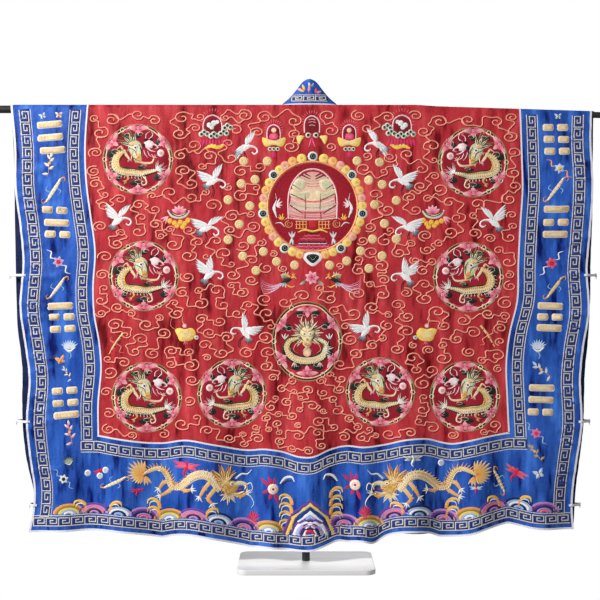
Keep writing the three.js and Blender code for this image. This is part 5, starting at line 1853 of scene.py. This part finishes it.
# Each: x, height, turn, mirrored, size, what it is and its colours
BORDER_EMBLEMS = [
    (-818, 1399, 20, False, 0.6, butterfly, WHITE, SKY),
    (-768, 1402, 0, False, 0.6, butterfly, AMBER, WHITE), (-797, 1244, 20, False, 1.0, sprig, WHITE, STRAW),
    (-784, 1168, 4, False, 1.0, scroll_case, CREAM, MAROON),
    (-769, 946, 0, False, 1.1, ribbon_flower, FLAME, ROSE, SKY, WHITE),
    (-772, 866, 0, False, 0.9, scroll_case, CREAM, OLIVE), (-735, 688, 0, False, 1.0, shell, WHITE, SKY),
    (-762, 640, 20, False, 0.8, butterfly, PEACH, AMBER), (-740, 596, 60, False, 0.7, sprig, WHITE, SKY),
    (-732, 409, 40, False, 1.0, sprig, ROSE, WHITE), (-738, 330, 20, False, 0.7, shell, MINT, PINE),
    (-752, 272, 0, False, 0.9, ribbon_flower, PINE, WHITE, MINT, SKY),
    (784, 1398, 0, False, 0.6, butterfly, WHITE, SKY),
    (787, 1236, 10, False, 1.0, ribbon_flower, YELLOW, WHITE, SKY, PEACH),
    (776, 1172, 0, False, 1.0, scroll_case, CREAM, MAROON),
    (763, 942, 0, True, 1.1, ribbon_flower, FLAME, FLAME, ROSE, WHITE),
    (772, 866, 0, False, 0.9, scroll_case, STRAW, OLIVE), (722, 688, 0, False, 1.0, shell, WHITE, SKY),
    (738, 606, 80, False, 1.0, sprig, WHITE, SKY),
    (714, 414, 0, False, 1.0, ribbon_flower, PINK, PLUM, ROSE, SKY),
    (714, 352, 10, True, 0.9, sprig, STRAW, PINE), (722, 288, 20, False, 0.9, butterfly, WHITE, SKY),
]
border_emblems = Stitching()
for x, height, tilt, broken in TRIGRAM_BARS:
    border_emblems.move_to(x / 1000, height / 1000, tilt)
    trigram_bar(border_emblems, broken)
for x, height, tilt, mirrored, size, draw, *colors in BORDER_EMBLEMS:
    border_emblems.move_to(x / 1000, height / 1000, tilt, mirrored, size)
    draw(border_emblems, *colors)
border_emblems = border_emblems.sewn("border_emblems", "blue_satin")


# The hem border: two dragons in gold thread that fly to the middle after flaming pearls, over a
# row of rainbow waves with gold foam and a mountain in the middle.
LONG_BODY = [
    (-124, 2), (-102, 14), (-80, 20), (-60, 13), (-46, -10), (-36, -34), (-12, -38), (6, -24), (28, -6),
    (56, 3), (84, -5), (102, -28), (116, -46),
]
INDIGO = dye(22, 34, 92)
VIOLET = dye(112, 62, 146)
LILAC = dye(182, 132, 192)
WAVE_COLORS = [
    (AMBER, OLIVE, YELLOW, SKY, WHITE), (VIOLET, LILAC, ROSE, INDIGO, LILAC),
    (INDIGO, SKY, WHITE, INDIGO, SKY), (LILAC, VIOLET, INDIGO, LILAC, ROSE),
]
WAVE_PITCH = 0.0775
WAVES_START = -0.735


def long_dragon(sew):
    for k, angle in enumerate(range(84, 262, 14)):
        petal(sew, -124, 0, angle, 58 - 3.5 * abs(k - 4), 11, AMBER, STRAW, lift=0.3 + 0.04 * k)
    for angle in (264, 285, 308):
        petal(sew, -118, -4, angle, 30, 9, AMBER, STRAW)
    for foot in ([(-44, -18), (-64, -26), (-76, -44)], [(-30, -38), (-48, -52), (-72, -66)],
                 [(-14, -36), (6, -48), (24, -44)], [(86, -16), (64, -44), (52, -66)],
                 [(100, -40), (78, -70), (90, -86)], [(150, -56), (178, -66), (196, -56)]):
        sew.line(foot, [14, 13, 8], STRAW, 1.5, 0.3, AMBER)
        angle = math.degrees(math.atan2(foot[2][1] - foot[1][1], foot[2][0] - foot[1][0]))
        spikes(sew, *foot[2], [angle + spread for spread in (-70, -30, 10, 50)], 19, 6, WHITE, MINT)
        spikes(sew, *foot[1], [angle + 120, angle + 160, angle - 130], 14, 5, AMBER, YELLOW)
    path = flowing(LONG_BODY, 9)
    for k in range(1, len(path) - 1):
        ahead, out = heading(path, k)
        sew.line([path[k] + out * 5, path[k] + out * 19 - ahead * 7], [5, 4, 0.8], AMBER, 1, 0.3, STRAW,
                 smooth=False)
    sew.line(LONG_BODY, [9, 13, 15, 17, 18, 20, 24, 27, 29, 29, 28, 26, 24], STRAW, 2.2, 0.2, CREAM, step=7)
    scales(sew, LONG_BODY[2:], 9.5, OCHRE, 6.5, 2.1)
    belly = np.array([path[k] - heading(path, k)[1] * 8 for k in range(6, len(path) - 1)])
    sew.line(belly, [3, 6, 6, 5, 3], CREAM, 1.4, 1.0, step=7)
    spikes(sew, 130, -22, (56, 72, 88, 104, 120, 136, 152, 170), 60, 10, DARK, BRONZE, 0.1)
    spikes(sew, 130, -22, (48, 64, 80, 96, 112, 128, 144, 160, 178), 56, 9, STRAW, AMBER)
    spikes(sew, 134, -26, (56, 72, 88, 104, 120, 136, 152), 40, 7, CREAM, OCHRE, 1)
    spikes(sew, 142, -56, (196, 216, 236, 256, 276, 296, 316), 36, 8, STRAW, CREAM)
    sew.patch([(120, -24), (138, -14), (156, -16), (170, -28), (168, -46), (152, -60), (134, -60),
               (120, -46)], STRAW, 2.2, 0.4, OCHRE, step=8)
    for path in ([(122, -24), (134, -30), (140, -42)], [(120, -36), (130, -42), (134, -54)],
                 [(136, -16), (146, -24), (146, -36)], [(140, -60), (150, -50), (164, -50)],
                 [(150, -36), (160, -40), (168, -36)]):
        sew.line(path, [2, 4.5, 1.5], BRONZE, 1, 2.4)
    sew.line([(154, -30), (176, -26), (194, -32), (190, -46)], [18, 15, 11, 4], CREAM, 1.6, 1.2, STRAW)
    sew.line([(148, -56), (168, -60), (188, -52)], [12, 10, 4], STRAW, 1.5, 1.0)
    sew.line([(158, -46), (180, -46)], [3, 7, 3], FLAME, 1, 1.6, smooth=False)
    sew.disc(150, -27, 6, WHITE, 1.2, 2.6, sides=10)
    sew.bead(151, -27, 3, DARK, 1, 3.4)
    sew.line([(140, -18), (152, -15), (164, -20)], [2, 6, 2], DARK, 1, 2.4)
    for x, y in ((126, -34), (134, -46), (124, -52), (144, -42), (140, -58)):
        sew.line(arc(4.5, 20, 260, 6, x, y), 2.2, OCHRE, 1, 2.4, step=4)
    sew.line([(162, -12), (180, 2), (198, 2), (212, 16)], [7, 7, 5, 1.5], MINT, 1.4, 0.8, WHITE)
    sew.line([(188, -36), (208, -26), (214, -44), (204, -56)], [4, 4, 3, 1], WHITE, 1.1, 0.5)
    sew.line([(184, -58), (206, -66), (218, -88), (210, -104)], [4, 4, 3, 1], WHITE, 1.1, 0.5)


def flaming_pearl(sew):
    for angle in (80, 110, 140, 200, 250, 290):
        petal(sew, *turned([(14, 0)], angle)[0], angle, 30 + 8 * math.sin(angle), 10, FLAME, MAGENTA)
    sew.disc(0, 0, 17, CREAM, 1.8, 0.4, WHITE, sides=14)
    sew.line(arc(9, 0, 340, 9), 4, PEACH, 1.2, 1.6, step=5)
    sew.bead(0, 0, 5, FLAME, 1.2, 2.0)


def flying_bat(sew, color, tip, heart):
    for angle, length in ((166, 46), (190, 38), (150, 24), (14, 46), (-10, 38), (30, 24)):
        petal(sew, 0, 0, angle, length, 12, color, tip)
    sew.line([(-2, 16), (4, 0), (-4, -22), (4, -34)], [8, 14, 9, 3], heart, 1.4, 0.7)


def spray(sew, tiers):
    """Gold foam: hooks one over another, edged with white."""
    for foot in range(0, tiers * 26, 26):
        hook = np.array([(8, foot - 16), (4, foot + 2), (-10, foot + 14), (-26, foot + 12), (-30, foot)])
        sew.line(hook, [12, 12, 11, 8, 3], AMBER, 1.5, 0.6, YELLOW)
        sew.line(hook[1:] + (6, -8), [2, 5, 4, 1.5], WHITE, 1, 0.9)


def wave(sew, colors, lift):
    for k, color in enumerate(colors):
        radius = 43 - 8 * k
        rows = arc(radius, 6, 174, 11) * (1.08, 0.70)
        sew.line(rows, 8.6, color, 1.2, lift + 0.1 * k, step=8)


def mountain(sew):
    for k, color in enumerate((VIOLET, YELLOW, NAVY, WHITE, SKY, INDIGO, WHITE)):
        half = 84 - 11 * k
        top = 104 - 12 * k
        ridge = [(-half, -4), (-half * 0.7, top * 0.55), (-half * 0.26, top * 0.84), (0, top),
                 (half * 0.26, top * 0.84), (half * 0.7, top * 0.55), (half, -4)]
        sew.line(ridge, 10, color, 1.3, 0.5 + 0.06 * k, smooth=False)
    for k, color in enumerate((VIOLET, WHITE, LILAC, INDIGO, FLAME)):
        sew.line(arc(58 - 11 * k, 4, 176, 11) * (1, 0.78), 10, color, 1.4, 1.4, step=9)


hem_waves = Stitching()
for k in range(20):
    x = WAVES_START + k * WAVE_PITCH
    slope = (back_hem(x + 0.03) - back_hem(x - 0.03)) / 0.06
    hem_waves.move_to(x, back_hem(x) + 0.047, math.degrees(math.atan(slope)))
    if abs(x - 0.013) > 0.075:
        wave(hem_waves, WAVE_COLORS[k % 4], 0.2 + 0.25 * (k % 2))
for x, tiers, mirrored in ((-0.690, 1, False), (-0.600, 1, True), (-0.462, 2, False), (-0.300, 1, True),
                           (-0.052, 4, False), (0.084, 4, True), (0.292, 1, False), (0.444, 2, True),
                           (0.592, 1, False), (0.668, 1, True)):
    hem_waves.move_to(x, back_hem(x) + 0.072, 0, mirrored)
    spray(hem_waves, tiers)
for x in (-0.164, 0.183):
    hem_waves.move_to(x, back_hem(x) + 0.060)
    for k, angle in enumerate(range(30, 160, 15)):
        petal(hem_waves, 4 * k - 16, 6, angle, 44, 9, FLAME if k % 2 else ROSE, MAGENTA)
hem_waves.move_to(0.013, back_hem(0.013) + 0.046)
mountain(hem_waves)
hem_waves = hem_waves.sewn("hem_waves", "blue_satin")

hem_dragons = Stitching()
for x, height, mirrored in ((-0.380, 0.285, False), (0.402, 0.285, True)):
    hem_dragons.move_to(x, height, 0, mirrored)
    long_dragon(hem_dragons)
for x, height in ((-0.102, 0.242), (0.152, 0.254)):
    hem_dragons.move_to(x, height)
    flaming_pearl(hem_dragons)
for x, height, mirrored in ((-0.058, 0.268, False), (0.076, 0.276, True)):
    hem_dragons.move_to(x, height, 0, mirrored)
    hem_dragons.line([(-22, -10), (-6, 8), (14, 10), (22, -4)], [5, 9, 8, 3], WHITE, 1.3, 0.3)
    hem_dragons.line([(-16, -12), (0, -2), (14, -2)], [2, 7, 3], DARK, 1, 0.6)
for x, height, tilt, size, color, tip, heart in (
        (-0.372, 0.312, -8, 1.0, ROSE, PINK, FLAME), (0.652, 0.292, -30, 0.9, FLAME, ROSE, FLAME),
        (-0.640, 0.296, 20, 0.5, FLAME, MAGENTA, FLAME), (0.526, 0.245, 0, 0.5, WHITE, SKY, FLAME),
        (-0.524, 0.236, 0, 0.5, FLAME, MAGENTA, FLAME), (0.330, 0.336, 0, 0.7, DARK, WHITE, WHITE)):
    hem_dragons.move_to(x, height, tilt, False, size)
    flying_bat(hem_dragons, color, tip, heart)
for x, height in ((-0.678, 0.290), (-0.640, 0.282), (-0.622, 0.300), (0.420, 0.322)):
    hem_dragons.move_to(x, height, 0, False, 0.8)
    hem_dragons.disc(0, 0, 13, WHITE, 1.4, 0.5, SKY, sides=12)
    hem_dragons.line(arc(6, 0, 280, 7), 2.6, INDIGO, 1, 1.2, step=4)
for x, height, tilt in ((-0.592, 0.262, -28), (0.600, 0.266, 62)):
    hem_dragons.move_to(x, height, tilt, False, 0.9)
    scroll_case(hem_dragons, CREAM, OCHRE)
hem_dragons = hem_dragons.sewn("hem_dragons", "blue_satin")


# The neckband carries a narrow fret along its foot and small flowers in its point. The borders of
# the two front panels have the same frets as the back.
def on_collar(side, x, height, offset):
    rise = np.clip(height - shoulder_height(NECK_X), 0, COLLAR_HEIGHT * 0.96)
    across = np.clip((x - NECK_X) / collar_half_width(rise), -0.97, 0.97)
    return collar_point(across, rise, offset)


collar_foot = shoulder_height(NECK_X)
collar_stitching = Stitching(BACK, on_collar)
fret_band(collar_stitching, lambda length, across: (length, collar_foot + 0.010 + across), -0.045, 0.067,
          0.019, 1.12)
for x, rise, tilt, length, color, tip in (
        (-0.006, 0.040, 150, 30, YELLOW, AMBER), (-0.004, 0.044, 110, 22, AMBER, YELLOW),
        (0.008, 0.038, 80, 26, ROSE, BLUSH), (0.016, 0.052, 60, 18, PINE, MINT),
        (0.030, 0.036, 20, 20, PINK, BLUSH), (0.030, 0.037, 80, 16, ROSE, PINK),
        (0.012, 0.054, 100, 16, SKY, WHITE)):
    collar_stitching.move_to(x, collar_foot + rise)
    petal(collar_stitching, 0, 0, tilt, length, 9, color, tip)
collar_stitching = collar_stitching.sewn("collar_stitching", "blue_satin")

front_frets = Stitching(FRONT)
side_frets(front_frets, front_left_edge, left_seam, -1, LEFT_CORNER_HEIGHT, 0.165, 1.398)
side_frets(front_frets, front_right_edge, right_seam, 1, RIGHT_CORNER_HEIGHT, 0.170, 1.392)
for start, end in ((-0.690, NECK_X - band_edge - 0.006), (NECK_X + band_edge + 0.006, 0.680)):
    fret_band(front_frets, lambda length, across: (
        length, front_hem_seam(np.clip(length, -0.645, 0.631)) - 0.0145 - across
    ), start, end, 0.034, 1.08)
for start, end in ((-0.838, NECK_X - band_edge - 0.006), (NECK_X + band_edge + 0.006, 0.815)):
    fret_band(front_frets, lambda length, across: (length, front_hem(length) + 0.010 + across), start, end,
              0.032, 1.08)
for way in (-1, 1):
    def along_band(length, across, way=way):
        return NECK_X + way * (band_edge - 0.012 - across) + 0 * length, length

    fret_band(front_frets, along_band, 0.100, 1.400, 0.034, 1.08)
front_frets = front_frets.sewn("front_fret_bands", "white_binding")


# The cut of the robe, before it was hung: each panel and border with what is sewn to it.
bars = ["crossbar", "crossbar_extension"]
CUT = [
    # node, flat size, area where it is not the whole size, what it rests on, what is sewn to it
    ("back_ground_left", (0.74, 1.07), 0.74, bars,
     [medallions, oval, roundel, coins_and_cranes, scattered, cloud_scrolls, robe["back_piping_left"],
      robe["back_piping_hem"]]),
    ("back_ground_right", (0.72, 1.07), 0.72, bars, [robe["back_piping_right"]]),
    ("back_border_left", (0.22, 1.36), 0.27, bars,
     [robe["back_binding_left"], back_frets, border_emblems, *left_ties]),
    ("back_border_right", (0.22, 1.36), 0.268, bars, [robe["back_binding_right"], *right_ties]),
    ("back_border_hem", (1.36, 0.34), 0.41, [robe["back_ground_left"]],
     [robe["back_binding_hem"], hem_waves, hem_dragons]),
    ("front_ground_left", (0.66, 1.08), 0.66, bars, [front_motifs, front_scrolls]),
    ("front_ground_right", (0.64, 1.08), 0.64, bars, []),
    ("front_border_left", (0.26, 1.36), 0.305, bars, [front_frets]),
    ("front_border_right", (0.26, 1.36), 0.295, bars, []),
    ("front_border_hem_left", (0.64, 0.30), 0.185, [robe["front_ground_left"]], []),
    ("front_band_left", (0.085, 1.44), None, bars, []),
    ("front_border_hem_right", (0.60, 0.30), 0.170, [robe["front_ground_right"]], []),
    ("front_band_right", (0.085, 1.44), None, bars, []),
]
for node, flat, area, rests_on, sewn_on in CUT:
    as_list(rests_on)
    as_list(sewn_on)
